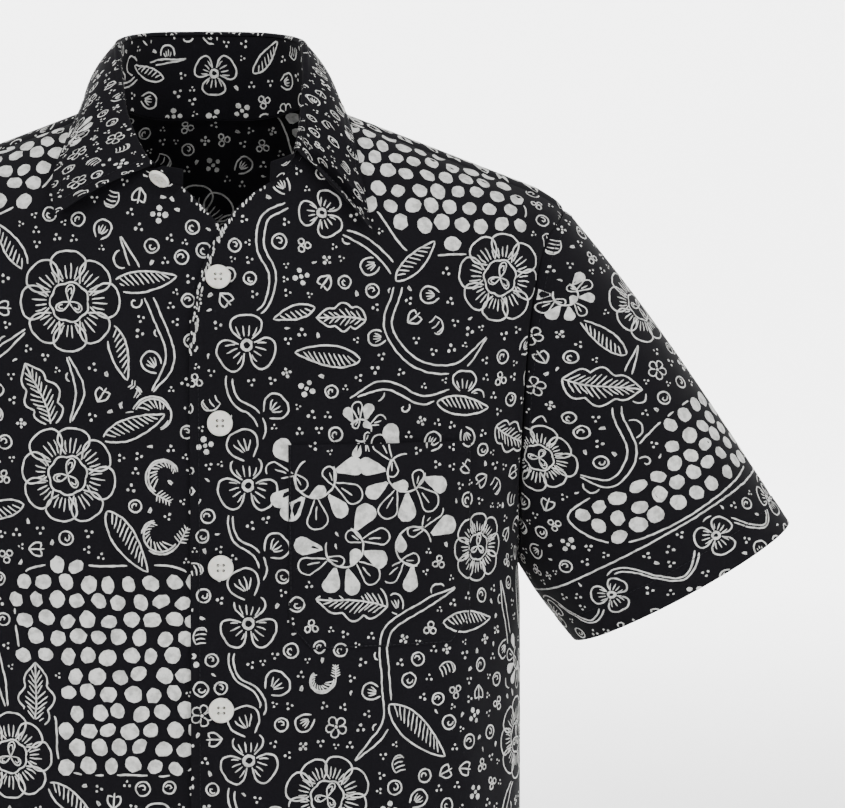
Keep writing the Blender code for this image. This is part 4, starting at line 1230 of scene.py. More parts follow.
# ---- the drawing of each panel; turn in degrees, 0 along +s, 90 down ----
VINE_PITCH = 85.5
VINE_TOP = 143.0
LEFT_MOTIFS = table(Motif,
    ("bloom", 181, 103, 29, 10), ("bloom", 172, 272, 22, 0), ("bloom", 66, 424, 27, 20),
    ("bloom", 150, 520, 28, 5), ("bloom", 74, 610, 28, 15), ("bloom", 222, 400, 26, 0),
    ("bloom", 196, 650, 27, 8), ("rose", 66, 62, 15, 30), ("leaf", 112, 104, 34, -58),
    ("leaf", 88, 152, 40, 172), ("leaf", 60, 120, 26, 150), ("plume", 92, 128, 30, -160),
    ("wheel", 58, 224, 27, 0), ("wheel", 116, 222, 26, 40), ("wheel", 76, 268, 26, 90),
    ("wheel", 122, 268, 26, 10), ("wheel", 88, 196, 15, 10), ("plume", 104, 306, 44, -155),
    ("leaf", 106, 368, 50, 28), ("leaf", 142, 318, 40, -14), ("leaf", 138, 180, 36, -8),
    ("rose", 156, 176, 15, 0), ("plume", 182, 196, 34, 40), ("leaf", 102, 470, 44, -20),
    ("plume", 96, 500, 40, 160), ("leaf", 190, 470, 44, 60), ("wheel", 208, 560, 20, 0),
    ("wheel", 118, 570, 19, 40), ("leaf", 120, 640, 44, -30), ("plume", 150, 600, 36, 60),
    ("leaf", 228, 290, 40, 70), ("wheel", 224, 348, 18, 0), ("feather", 62, 350, 10, 0),
    ("feather", 60, 540, 11, 120), ("rose", 62, 488, 14, 0))
LEFT_STEMS = [
    [(70, 70), (96, 82), (113, 104), (106, 132), (124, 155), (152, 158), (172, 140)],
    [(150, 296), (128, 306), (104, 322), (104, 352), (104, 380), (84, 402)],
    [(84, 452), (104, 480), (132, 500)],
    [(120, 530), (92, 560), (80, 584)],
    [(178, 500), (204, 440), (218, 424)],
    [(102, 618), (140, 628), (172, 640)],
    [(81, 176), (104, 168), (128, 178), (146, 172)],
    [(196, 296), (206, 330), (214, 372)],
]
LEFT_PATCHES = [
    [(82, -8), (80, 38), (102, 62), (120, 86), (146, 88), (178, 84), (202, 60), (196, 20), (230, -60),
     (90, -60)],
    [(160, 560), (190, 590), (170, 620), (150, 590)],
]
RIGHT_MOTIFS = table(Motif,
    ("bloom", -92, 116, 31, 0), ("bloom", -94, 222, 31, 12), ("bloom", -132, 398, 27, 0),
    ("bloom", -64, 470, 28, 0), ("bloom", -180, 520, 28, 16), ("bloom", -84, 610, 28, 4),
    ("bloom", -206, 300, 26, 0), ("bloom", -190, 650, 26, 0), ("leaf", -66, 106, 40, -22),
    ("leaf", -66, 130, 34, 60), ("leaf", -118, 96, 34, -140), ("plume", -104, 192, 40, -96),
    ("leaf", -72, 200, 40, -36), ("leaf", -70, 244, 44, 42), ("leaf", -122, 240, 34, 150),
    ("feather", -40, 186, 14, 200), ("feather", -34, 222, 13, 120), ("feather", -38, 258, 14, 30),
    ("feather", -56, 176, 10, 300), ("plume", -118, 380, 40, -70), ("leaf", -108, 414, 38, 24),
    ("leaf", -170, 130, 40, 70), ("wheel", -168, 210, 20, 0), ("wheel", -150, 460, 20, 0),
    ("wheel", -116, 530, 20, 0), ("leaf", -90, 490, 40, 150), ("plume", -40, 540, 40, 100),
    ("leaf", -150, 590, 44, 60), ("rose", -40, 440, 14, 0), ("rose", -30, 590, 15, 0),
    ("rose", -44, 660, 15, 20), ("leaf", -212, 420, 44, 80))
RIGHT_STEMS = [
    [(-94, 148), (-86, 170), (-92, 190)],
    [(-118, 132), (-150, 160), (-160, 190)],
    [(-124, 236), (-146, 256), (-150, 300), (-140, 340), (-134, 370)],
    [(-110, 420), (-86, 436), (-74, 446)],
    [(-92, 484), (-130, 492), (-154, 510)],
    [(-66, 500), (-60, 540), (-76, 582)],
    [(-112, 614), (-140, 640), (-166, 650)],
    [(-60, 76), (-40, 120), (-30, 150), (-42, 172)],
]
RIGHT_PATCHES = [
    [(-124, 284), (-70, 278), (-18, 284), (-16, 340), (-16, 402), (-60, 408), (-98, 404), (-104, 370),
     (-124, 340)],
    [(-99, -60), (-98, 20), (-112, 48), (-150, 66), (-200, 62), (-230, -60)],
]
BACK_MOTIFS = table(Motif,
    ("bloom", -8, 78, 31, 0), ("bloom", -118, 128, 30, 10), ("bloom", 112, 168, 31, 0),
    ("bloom", -30, 222, 29, 15), ("bloom", 150, 330, 28, 0), ("bloom", -150, 300, 30, 0),
    ("bloom", 26, 360, 31, 8), ("bloom", -96, 440, 30, 0), ("bloom", 120, 470, 30, 12),
    ("bloom", 10, 540, 30, 0), ("bloom", -160, 570, 29, 0), ("bloom", 150, 620, 29, 5),
    ("bloom", -60, 650, 28, 0), ("bloom", 226, 420, 26, 0), ("bloom", -228, 440, 26, 0),
    ("leaf", 22, 62, 44, -30), ("leaf", -38, 70, 44, -150), ("plume", -6, 112, 40, 60),
    ("leaf", 84, 190, 44, 130), ("leaf", 138, 148, 40, -40), ("plume", 116, 200, 44, 60),
    ("leaf", -140, 108, 40, -130), ("plume", -96, 152, 40, 40), ("leaf", -56, 236, 44, 150),
    ("leaf", 0, 230, 44, 20), ("wheel", 52, 262, 20, 0), ("wheel", 70, 304, 19, 40),
    ("wheel", -88, 352, 20, 0), ("wheel", -52, 318, 19, 20), ("leaf", 54, 374, 44, 30),
    ("leaf", -4, 376, 44, 160), ("plume", 150, 360, 44, 80), ("leaf", -124, 446, 44, 150),
    ("leaf", -66, 452, 44, 40), ("leaf", 90, 486, 44, 140), ("plume", 148, 480, 44, 50),
    ("wheel", 70, 590, 20, 0), ("wheel", -80, 560, 20, 0), ("wheel", 200, 250, 20, 0),
    ("wheel", -204, 230, 19, 0), ("leaf", 34, 560, 44, 40), ("leaf", -134, 590, 44, 60),
    ("leaf", 120, 634, 40, 150), ("feather", -180, 380, 14, 0), ("feather", 60, 430, 14, 90),
    ("feather", 180, 560, 14, 30))
BACK_STEMS = [
    [(-34, 94), (-60, 118), (-88, 122)],
    [(18, 100), (48, 140), (80, 156)],
    [(88, 190), (40, 200), (0, 212)],
    [(-56, 240), (-100, 250), (-128, 278)],
    [(-14, 250), (10, 300), (20, 330)],
    [(130, 196), (150, 250), (148, 300)],
    [(-150, 332), (-140, 390), (-116, 416)],
    [(44, 388), (80, 430), (96, 452)],
    [(-80, 468), (-40, 500), (-14, 520)],
    [(104, 496), (80, 530), (40, 540)],
    [(-118, 466), (-150, 500), (-156, 540)],
    [(130, 500), (150, 550), (152, 590)],
    [(-20, 566), (-50, 600), (-58, 622)],
]
BACK_PATCHES = [
    [(40, -60), (52, 10), (70, 60), (110, 110), (160, 110), (230, 60), (230, -60)],
    [(-120, 180), (-80, 190), (-84, 236), (-120, 250), (-170, 240), (-176, 190)],
    [(-10, 420), (30, 424), (40, 470), (10, 500), (-30, 470)],
    [(60, 630), (100, 660), (100, 720), (0, 720), (10, 650)],
    [(-240, 600), (-200, 620), (-190, 720), (-260, 720)],
]
# The sleeve: s is the way round from the top over the front (448 is all round), t the way up from the hem.
SLEEVE_MOTIFS = table(Motif,
    ("bloom", 142, 128, 24, 0), ("rose", 155, 24, 13, 0), ("rose", 82, 26, 14, 0), ("rose", 24, 24, 13, 0),
    ("rose", 214, 24, 13, 0), ("rose", 274, 25, 14, 0), ("rose", 336, 24, 13, 0), ("rose", 400, 26, 14, 0),
    ("plume", 96, 168, 46, -120), ("leaf", 122, 152, 40, -60), ("bloom", 20, 178, 26, 0),
    ("bloom", 400, 150, 28, 0), ("bloom", 318, 118, 26, 0), ("wheel", 352, 176, 18, 0),
    ("wheel", 60, 214, 16, 0), ("leaf", 426, 150, 40, -30), ("leaf", 372, 140, 40, 170),
    ("plume", 318, 92, 36, 100), ("leaf", 54, 160, 36, 60))
SLEEVE_STEMS = [
    [(128, 108), (112, 92), (92, 104), (84, 132), (66, 146), (44, 160)],
    [(344, 108), (366, 124), (386, 130)],
]
SLEEVE_PATCHES = [
    [(128, 52), (150, 84), (116, 92), (80, 108), (36, 110), (10, 92), (6, 60), (60, 48)],
    [(250, 56), (296, 60), (290, 96), (256, 96)],
    [(380, 60), (430, 60), (436, 100), (400, 112), (372, 92)],
]


def left_front_cloth():
    cloth = Cloth((-24.0, -70.0), (272.0, 712.0), 11)
    for k in range(7):
        t = VINE_TOP + VINE_PITCH * k
        cloth.add(rose(cloth.rng, 18.5).placed(17.0, t))
        cloth.mark_disc(17.0, t, 13.0)
        cloth.add(fan(cloth.rng, 19.0, 4, 0.62).placed(18.0, t + 70.0, math.radians(-112.0)))
        cloth.add(fan(cloth.rng, 15.0, 4, 0.66).placed(28.5, t + 43.0, math.radians(-42.0)))
    vine = [(44.0, 58.0), (30.0, 66.0), (27.0, 84.0), (34.0, 100.0), (30.0, 118.0), (20.0, 128.0)]
    for k in range(7):
        t = VINE_TOP + VINE_PITCH * k
        vine += [(11.0, t + 8.0), (6.0, t + 21.0), (10.0, t + 34.0), (21.0, t + 41.0), (26.0, t + 51.0),
                 (22.0, t + 61.0), (17.0, t + 69.0)]
    cloth.stem(vine, 4.4, curls=False)
    squeezed_edge(cloth, LEFT_EDGE, 1.0)
    return dress(cloth, LEFT_MOTIFS, LEFT_STEMS, LEFT_PATCHES)


def squeezed_edge(cloth, edge, hand):
    """Beside the opening the print is foreshortened by the rolled edge: short slanted strokes."""
    z = np.arange(-47.0, -150.0, -1.15)
    x = curve(edge, "z", "x")(z)
    marks = Shapes()
    for at_x, at_z in zip(x, z):
        inward = cloth.rng.uniform(0.6, 4.6)
        long = cloth.rng.uniform(1.2, 3.4)
        slant = cloth.rng.uniform(-1.2, 1.2)
        marks.line([(at_x + hand * inward, -at_z), (at_x + hand * (inward + 0.5 * slant), -at_z - long)],
                   cloth.rng.uniform(0.8, 1.7))
    cloth.add(marks, 1)


def dress(cloth, motifs, stems, patches):
    """Motifs, then stems and oval fields, then the small fillers."""
    draw_motifs(cloth, motifs)
    for stem in stems:
        cloth.stem(stem)
    for corners in patches:
        cloth.patch(corners)
    cloth.fill()
    return cloth


def panel_cloth(low, high, seed_number, motifs, stems, patches, edge=None):
    cloth = Cloth(low, high, seed_number)
    if edge:
        squeezed_edge(cloth, edge, -1.0)
    return dress(cloth, motifs, stems, patches)


def sleeve_cloth(seed_number):
    cloth = Cloth((-6.0, -4.0), (454.0, 272.0), seed_number)
    draw_motifs(cloth, SLEEVE_MOTIFS)
    wave = [(s, 25.0 + 13.0 * math.sin(s * 2.0 * math.pi / 64.0)) for s in range(-8, 460, 11)]
    cloth.stem(wave, 3.0, curls=False)
    rule = Shapes()
    rule.line([(-6.0, 44.0), (454.0, 44.0)], 1.2)
    cloth.add(rule, 1)
    for stem in SLEEVE_STEMS:
        cloth.stem(stem)
    for corners in SLEEVE_PATCHES:
        cloth.patch(corners)
    cloth.fill()
    return cloth


def small_cloth(low, high, seed_number, motifs=(), stems=()):
    """The collar's cut: the same cloth, cropped small."""
    cloth = Cloth(low, high, seed_number)
    draw_motifs(cloth, motifs)
    for stem in stems:
        cloth.stem(stem, 3.0)
    cloth.fill(1.2)
    return cloth


# ---- laying a drawing on a shell ----
OVER = SHOULDER_ROUND * (math.pi / 2 - 1.0)
LIFT = 0.13
PROBE = 8.0
TABLE_T = np.arange(-72.0, 724.0, 8.0)
TABLE_X = np.linspace(0.0, 236.0, 1200)
TABLE_S = np.arange(0.0, 300.0, 2.0)


def layout(face, hand):
    """Points and normals at each depth and distance along the cloth, out to the side seam."""
    x, t = np.meshgrid(hand * TABLE_X, TABLE_T)
    reach = t + OVER + shoulder_line(x)
    line = trunk(x, face * np.maximum(reach, 1.0))
    points, normals = trunk(x, face * reach), trunk_normal(x, face * reach)
    step = np.linalg.norm(np.diff(line[..., :2], axis=1), axis=2)
    length = np.concatenate([np.zeros((len(x), 1)), np.cumsum(step, axis=1)], axis=1)
    rows, sides = [], []
    for k, along in enumerate(length):
        last = int(np.nonzero(line[k, :, 1])[0][-1])
        side = along[min(last + 1, len(along) - 1)]
        placed, leaning = np.minimum(TABLE_S, side), np.minimum(TABLE_S, along[last])
        rows.append([np.interp(placed, along, points[k, :, c]) for c in range(3)]
                    + [np.interp(leaning, along, normals[k, :, c]) for c in range(3)])
        sides.append(side)
    return np.array(rows).transpose(0, 2, 1), np.array(sides)


LAYOUTS = {(face, hand): layout(face, hand) for face in (-1.0, 1.0) for hand in (-1.0, 1.0)}


def trunk_place(face, hand):
    """From flat coordinates to trunk points and normals."""
    def place(flat):
        s, t = np.abs(flat[:, 0]), flat[:, 1]
        v = np.clip((t - TABLE_T[0]) / 8.0, 0.0, len(TABLE_T) - 1.001)
        u = np.clip(s / 2.0, 0.0, len(TABLE_S) - 1.001)
        i, j = v.astype(int), u.astype(int)
        a, b = (v - i)[:, None], (u - j)[:, None]
        found = np.zeros((len(flat), 6))
        for sign in (-1.0, 1.0):
            table, sides = LAYOUTS[face, sign]
            here = (flat[:, 0] >= 0.0) == (sign > 0.0)
            value = ((table[i, j] * (1 - a) + table[i + 1, j] * a) * (1 - b)
                     + (table[i, j + 1] * (1 - a) + table[i + 1, j + 1] * a) * b)
            value[s > np.interp(t, TABLE_T, sides), :3] += 1000.0
            found[here] = value[here]
        normal = unit(found[:, 3:])
        return found[:, :3] + normal * lap(hand, found[:, 0])[:, None], normal
    return place


def sleeve_place(hand):
    flip = np.array([hand, 1.0, 1.0])

    def place(flat):
        turn = np.mod(flat[:, 0] / 448.0, 1.0)
        length = np.linalg.norm(hem_point(turn) - rim_at(turn), axis=1)
        share = 1.0 - flat[:, 1] / length
        return on_sleeve(turn, share) * flip, sleeve_normal(turn, share) * flip
    return place


CROWD_FROM = 95.0


def grid_place(grid, normal, along_row, down_column, crowd=1.0):
    """From flat coordinates to a grid: s along its middle row from the centre, t down its columns."""
    row = grid[along_row]
    s = np.concatenate([[0.0], np.cumsum(np.linalg.norm(np.diff(row, axis=0), axis=1))])
    s -= s[len(s) // 2]
    step = np.linalg.norm(np.diff(grid, axis=0), axis=2)
    length = step.sum(axis=0)
    profile = np.concatenate([[0.0], np.cumsum(step[:, down_column])]) / length[down_column]

    def place(flat):
        size = np.abs(flat[:, 0])
        size = np.minimum(size, CROWD_FROM) + np.maximum(size - CROWD_FROM, 0.0) / crowd
        along = np.sign(flat[:, 0]) * size
        u = np.clip(np.interp(along, s, np.arange(len(s))), 0.0, len(s) - 1.001)
        j = u.astype(int)
        b = (u - j)[:, None]
        tall = length[j]
        v = np.interp(flat[:, 1] / tall, profile, np.arange(len(profile)))
        v = np.clip(v, 0.0, len(profile) - 1.001)
        i = v.astype(int)
        a = (v - i)[:, None]

        def pick(field):
            return ((field[i, j] * (1 - a) + field[i + 1, j] * a) * (1 - b)
                    + (field[i, j + 1] * (1 - a) + field[i + 1, j + 1] * a) * b)
        point = pick(grid)
        out = (along < s[0]) | (along > s[-1]) | (flat[:, 1] < 0.0) | (flat[:, 1] > tall)
        point[out] += 1000.0
        return point, unit(pick(normal))
    return place


def land(flat, place, tree, side, lift=LIFT):
    """Drops flat points on a shell; returns the points (mm) and which of them landed."""
    points, normals = place(flat)
    points = points + normals * (PROBE * side)
    result = np.zeros_like(points)
    landed = np.zeros(len(points), bool)
    for k, (start, way) in enumerate(zip((points * MM).tolist(), (normals * -side).tolist())):
        spot, facing, _, distance = tree.ray_cast(start, way, 2.0 * PROBE * MM)
        if spot is None or abs(distance / MM - PROBE) > 4.0:
            continue
        if facing[0] * way[0] + facing[1] * way[1] + facing[2] * way[2] > -0.5:
            continue
        result[k] = (spot[0] / MM, spot[1] / MM, spot[2] / MM)
        landed[k] = True
    return result + normals * (lift * side), landed


def lay(name, cloth, target, place, material, side=1.0, window=None):
    """The drawing as one mesh of flat ribbons and spots, just off the shell."""
    rng = np.random.default_rng(5)
    flats, faces, count = [], [], 0
    for points, width in cloth.strokes:
        if window and not window(points.mean(axis=0)):
            continue
        n = len(points)
        shake = rng.normal(0.0, 0.16, (n, 2))
        path = points + (shake + np.roll(shake, 1, axis=0)) * 0.5
        way = unit(np.gradient(path, axis=0))
        across = np.stack([-way[:, 1], way[:, 0]], axis=-1)
        thick = np.full(n, width) * (1.0 + rng.normal(0.0, 0.09, n))
        thick[0] *= 0.6
        thick[-1] *= 0.45
        half = across * (thick / 2)[:, None]
        flats += [path + half, path - half]
        for k in range(n - 1):
            faces.append((count + k, count + k + 1, count + n + k + 1, count + n + k))
        count += 2 * n
    for points in cloth.spots:
        if window and not window(points.mean(axis=0)):
            continue
        n = len(points)
        shake = rng.normal(0.0, 0.10, (n, 2))
        flats += [points + shake, points.mean(axis=0)[None]]
        for k in range(n):
            faces.append((count + k, count + (k + 1) % n, count + n))
        count += n + 1
    spots, landed = land(np.concatenate(flats), place, BVH[target.name], side)
    faces = [face for face in faces if all(landed[k] for k in face)]
    used = sorted({k for face in faces for k in face})
    renumber = {k: i for i, k in enumerate(used)}
    return mesh_piece(name, (spots[used] * MM).tolist(), [tuple(renumber[k] for k in face) for face in faces],
                      material, "cloth")


BVH = {}


def remember(thing):
    mesh = thing.data
    BVH[thing.name] = BVHTree.FromPolygons([vertex.co for vertex in mesh.vertices],
                                           [tuple(polygon.vertices) for polygon in mesh.polygons])
    return thing


# ---- stitches ----
# One bar's rings: share of its length, size, how far the ring sinks.
THREAD_BAR = ((0.0, 0.35, -0.3), (0.18, 1.0, 0.0), (0.82, 1.0, 0.0), (1.0, 0.35, -0.3))


def stitches(name, lines, material, pitch=3.1, length=2.3, radius=0.24):
    """Short thread bars along paths of (points, normals) in mm."""
    verts, faces = [], []
    for points, normals in lines:
        gaps = np.linalg.norm(np.diff(points, axis=0), axis=1)
        run = np.concatenate([[0.0], np.cumsum(gaps)])
        for start in np.arange(0.6, run[-1] - length, pitch):
            ends = [np.array([np.interp(at, run, points[:, c]) for c in range(3)])
                    for at in (start, start + length)]
            up = np.array([np.interp(start + length / 2, run, normals[:, c]) for c in range(3)])
            way = unit(ends[1] - ends[0])
            side = unit(np.cross(way, up))
            base = len(verts)
            for share, size, sink in THREAD_BAR:
                middle = ends[0] + (ends[1] - ends[0]) * share + up * sink * radius * 2
                for angle in (0.0, 1.2566, 2.5133, 3.7699, 5.0265):
                    out = side * math.cos(angle) + up * math.sin(angle)
                    verts.append((middle + out * radius * size) * MM)
            for ring in range(3):
                for k in range(5):
                    a, b = base + ring * 5 + k, base + ring * 5 + (k + 1) % 5
                    faces.append((a, b, b + 5, a + 5))
    return mesh_piece(name, verts, faces, material, "cloth")


def landed_line(flat, place, target, side=1.0):
    flat = resample(flat, 2.0)
    spots, landed = land(flat, place, BVH[target.name], side, 0.2)
    _, normals = place(flat)
    if landed.sum() < 4:
        return None
    return spots[landed], normals[landed] * side


def grid_line(grid, normals, row=None, column=None, lift=0.2):
    """A row or column of a grid as a stitch path."""
    picked = (grid[row], normals[row]) if row is not None else (grid[:, column], normals[:, column])
    return picked[0] + picked[1] * lift, picked[1]


# ---- buttons ----
def ring(mesh, radius, height, sides, x=0.0, y=0.0):
    points = []
    for k in range(sides):
        angle = 2.0 * math.pi * k / sides
        spot = Vector((x + radius * math.cos(angle), y + radius * math.sin(angle), height))
        points.append(mesh.verts.new(spot * MM))
    return points


def bridge(mesh, lower, upper):
    for k in range(len(lower)):
        after = (k + 1) % len(lower)
        mesh.faces.new((lower[k], lower[after], upper[after], upper[k]))


def cap(mesh, loops):
    edges = []
    for loop in loops:
        for a, b in zip(loop, loop[1:] + loop[:1]):
            edges.append(mesh.edges.get((a, b)) or mesh.edges.new((a, b)))
    bmesh.ops.triangle_fill(mesh, use_beauty=True, use_dissolve=False, edges=edges)


def button(name, node, radius, at, facing, shell_material):
    """A turned four-hole button; returns the two thread bars that hold it."""
    shape = bmesh.new()
    profile = [(radius - 1.2, 0.0), (radius - 0.5, 0.2), (radius - 0.05, 0.75), (radius, 1.15),
               (radius - 0.12, 1.75), (radius - 0.5, 2.3), (radius - 1.1, 2.58), (radius - 1.6, 2.5),
               (radius - 2.1, 2.15), (radius - 2.6, 1.88), (radius - 3.2, 1.8)]
    rings = [ring(shape, r, h, 48) for r, h in profile]
    for lower, upper in zip(rings, rings[1:]):
        bridge(shape, lower, upper)
    below, above = [], []
    for sx, sy in ((1, 1), (-1, 1), (-1, -1), (1, -1)):
        low = ring(shape, 0.95, 0.0, 12, sx * 1.7, sy * 1.7)
        high = ring(shape, 0.85, 1.62, 12, sx * 1.7, sy * 1.7)
        lip = ring(shape, 1.0, 1.8, 12, sx * 1.7, sy * 1.7)
        bridge(shape, high, low)
        bridge(shape, lip, high)
        below.append(low)
        above.append(lip)
    cap(shape, [rings[0]] + below)
    cap(shape, [rings[-1]] + above)
    bmesh.ops.recalc_face_normals(shape, faces=shape.faces)
    mesh = bpy.data.meshes.new(name)
    shape.to_mesh(mesh)
    shape.free()
    mesh.materials.append(shell_material)
    mesh.shade_smooth()
    mesh.set_sharp_from_angle(angle=math.radians(35.0))
    thing = link(name, mesh)
    thing.location = at * MM
    thing.rotation_mode = "QUATERNION"
    thing.rotation_quaternion = facing.to_track_quat("Z", "Y")
    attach(thing, "root")
    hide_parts(node)
    stance = facing.to_track_quat("Z", "Y").to_matrix()
    paths = []
    for y in (-1.7, 1.7):
        bar = [(-1.75, 0.9), (-1.5, 1.8), (-0.6, 2.0), (0.6, 2.0), (1.5, 1.8), (1.75, 0.9)]
        local = [(x, y, z) for x, z in bar]
        points = np.array([at + stance @ Vector(p) for p in local])
        paths.append((points, np.tile(np.array(stance @ Vector((0.0, 0.0, 1.0))), (len(points), 1))))
    return paths


def tube(name, lines, material, radius, sides=6):
    """Round threads along short paths."""
    verts, faces = [], []
    for points, normals in lines:
        way = unit(np.gradient(points, axis=0))
        side = unit(np.cross(way, normals))
        up = np.cross(side, way)
        base = len(verts)
        for point, a, b in zip(points, side, up):
            for k in range(sides):
                angle = 2.0 * math.pi * k / sides
                verts.append((point + (a * math.cos(angle) + b * math.sin(angle)) * radius) * MM)
        for n in range(len(points) - 1):
            for k in range(sides):
                p, q = base + n * sides + k, base + n * sides + (k + 1) % sides
                faces.append((p, q, q + sides, p + sides))
    return mesh_piece(name, verts, faces, material, "buttons")


# ---- materials ----
def nodes_of(name):
    material = bpy.data.materials.new(name)
    material.use_nodes = True
    tree = material.node_tree
    return material, tree, tree.nodes["Principled BSDF"]


def noise(tree, source, scale, detail=3.0, rough=0.55):
    node = tree.nodes.new("ShaderNodeTexNoise")
    node.inputs["Scale"].default_value = scale
    node.inputs["Detail"].default_value = detail
    node.inputs["Roughness"].default_value = rough
    tree.links.new(source, node.inputs["Vector"])
    return node.outputs["Fac"]


def ramp(tree, source, stops):
    node = tree.nodes.new("ShaderNodeValToRGB")
    elements = node.color_ramp.elements
    while len(elements) < len(stops):
        elements.new(0.5)
    for element, (at, colour) in zip(elements, stops):
        element.position = at
        element.color = (*colour, 1.0)
    tree.links.new(source, node.inputs["Fac"])
    return node.outputs["Color"]


def mixed(tree, share, a, b):
    node = tree.nodes.new("ShaderNodeMix")
    node.data_type = "RGBA"
    node.inputs["Factor"].default_value = share
    tree.links.new(a, node.inputs["A"])
    tree.links.new(b, node.inputs["B"])
    return node.outputs["Result"]


def roughness(tree, shader, source, low, high):
    node = tree.nodes.new("ShaderNodeMapRange")
    node.inputs["To Min"].default_value = low
    node.inputs["To Max"].default_value = high
    tree.links.new(source, node.inputs["Value"])
    tree.links.new(node.outputs["Result"], shader.inputs["Roughness"])


def weave_height(tree, source):
    """Fine plain weave: two crossed waves, broken by noise."""
    total = None
    for direction, scale in (("X", 620.0), ("Z", 580.0)):
        wave = tree.nodes.new("ShaderNodeTexWave")
        wave.wave_type = "BANDS"
        wave.bands_direction = direction
        wave.inputs["Scale"].default_value = scale
        wave.inputs["Distortion"].default_value = 1.6
        wave.inputs["Detail"].default_value = 1.0
        tree.links.new(source, wave.inputs["Vector"])
        if total is None:
            total = wave.outputs["Fac"]
            continue
        add = tree.nodes.new("ShaderNodeMath")
        add.operation = "ADD"
        tree.links.new(total, add.inputs[0])
        tree.links.new(wave.outputs["Fac"], add.inputs[1])
        total = add.outputs["Value"]
    return total


def cotton(name, dark, light, crackle=False):
    material, tree, shader = nodes_of(name)
    spot = tree.nodes.new("ShaderNodeTexCoord").outputs["Object"]
    broad = noise(tree, spot, 14.0, 4.0)
    fine = noise(tree, spot, 900.0, 2.0)
    base = ramp(tree, broad, [(0.3, dark), (0.72, light)])
    speck = ramp(tree, fine, [(0.36, tuple(c * 0.7 for c in dark)), (0.66, light)])
    colour = mixed(tree, 0.4, base, speck)
    if crackle:
        patchy = noise(tree, spot, 190.0, 3.0)
        worn = ramp(tree, patchy, [(0.38, tuple(c * 0.62 for c in dark)), (0.56, light)])
        colour = mixed(tree, 0.55, colour, worn)
    tree.links.new(colour, shader.inputs["Base Color"])
    roughness(tree, shader, broad, 0.82, 0.97)
    bump = tree.nodes.new("ShaderNodeBump")
    bump.inputs["Strength"].default_value = 0.25
    bump.inputs["Distance"].default_value = 0.00012
    tree.links.new(weave_height(tree, spot), bump.inputs["Height"])
    tree.links.new(bump.outputs["Normal"], shader.inputs["Normal"])
    shader.inputs["Sheen Weight"].default_value = 0.02
    shader.inputs["Sheen Roughness"].default_value = 0.5
    shader.inputs["Specular IOR Level"].default_value = 0.12
    return material


def button_material():
    material, tree, shader = nodes_of("cream_button")
    spot = tree.nodes.new("ShaderNodeTexCoord").outputs["Object"]
    cloud = noise(tree, spot, 260.0, 3.0)
    colour = ramp(tree, cloud, [(0.3, (0.70, 0.68, 0.61)), (0.7, (0.86, 0.85, 0.79))])
    tree.links.new(colour, shader.inputs["Base Color"])
    roughness(tree, shader, noise(tree, spot, 700.0), 0.24, 0.4)
    shader.inputs["Subsurface Weight"].default_value = 0.08
    shader.inputs["Subsurface Scale"].default_value = 0.002
    return material


def floor_material():
    material, tree, shader = nodes_of("pale_floor")
    spot = tree.nodes.new("ShaderNodeTexCoord").outputs["Object"]
    colour = ramp(tree, noise(tree, spot, 3.0), [(0.2, (0.90, 0.90, 0.90)), (0.8, (0.93, 0.93, 0.93))])
    tree.links.new(colour, shader.inputs["Base Color"])
    shader.inputs["Roughness"].default_value = 0.9
    shader.inputs["Specular IOR Level"].default_value = 0.1
    return material


# ---- build ----
GROUND = cotton("batik_ground", (0.0032, 0.0029, 0.0044), (0.0062, 0.0058, 0.0082))
WAX = cotton("batik_resist_line", (0.52, 0.52, 0.50), (0.80, 0.80, 0.775), crackle=True)
# A darker copy of the resist print for the shirt's inside, where shade falls: painted shade.
WAX_PAINTED_SHADE = cotton("batik_resist_painted_shade", (0.34, 0.34, 0.33), (0.56, 0.56, 0.545), crackle=True)
THREAD = cotton("black_thread", (0.010, 0.010, 0.012), (0.022, 0.022, 0.026))
PALE_THREAD = cotton("pale_thread", (0.62, 0.60, 0.54), (0.80, 0.78, 0.72))
BUTTON = button_material()

CLOTH_NODES = {}


def add_cloth(thing, node):
    thing.data.materials.append(GROUND)
    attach(thing, "root")
    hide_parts(node)
    CLOTH_NODES[node] = remember(thing)
    return thing


AREAS = {}
for node, places, hand in (("front_left", front_places(1.0), 1.0), ("front_right", front_places(-1.0), -1.0),
                           ("back", back_places(), 0.0)):
    piece, AREAS[node] = trunk_panel(node + "_cloth", places, hand)
    add_cloth(piece, node)
for node, hand in (("sleeve_left", 1.0), ("sleeve_right", -1.0)):
    piece, AREAS[node] = sleeve_piece(node + "_cloth", hand)
    add_cloth(piece, node)
piece, AREAS["collar_stand"] = stand_piece("collar_stand_cloth")
add_cloth(piece, "collar_stand")
AREAS["collar_fall"] = area_of(FALL)
add_cloth(shell("collar_fall_cloth", draw_in(FALL_FACE), FALL_NORMAL), "collar_fall")
piece, AREAS["pocket"] = pocket_piece("pocket_cloth")
add_cloth(piece, "pocket")
for node, area in AREAS.items():
    print("area", node, round(area))

# The print of each panel.
LEFT_PLACE = trunk_place(-1.0, 1.0)
RIGHT_PLACE = trunk_place(-1.0, -1.0)
BACK_PLACE = trunk_place(1.0, 0.0)


def under_pocket(middle):
    return 48.0 < middle[0] < 152.0 and 212.0 < middle[1] < 322.0


def on_pocket(flat):
    point, normal = LEFT_PLACE(flat)
    return point + normal * 2.0, normal


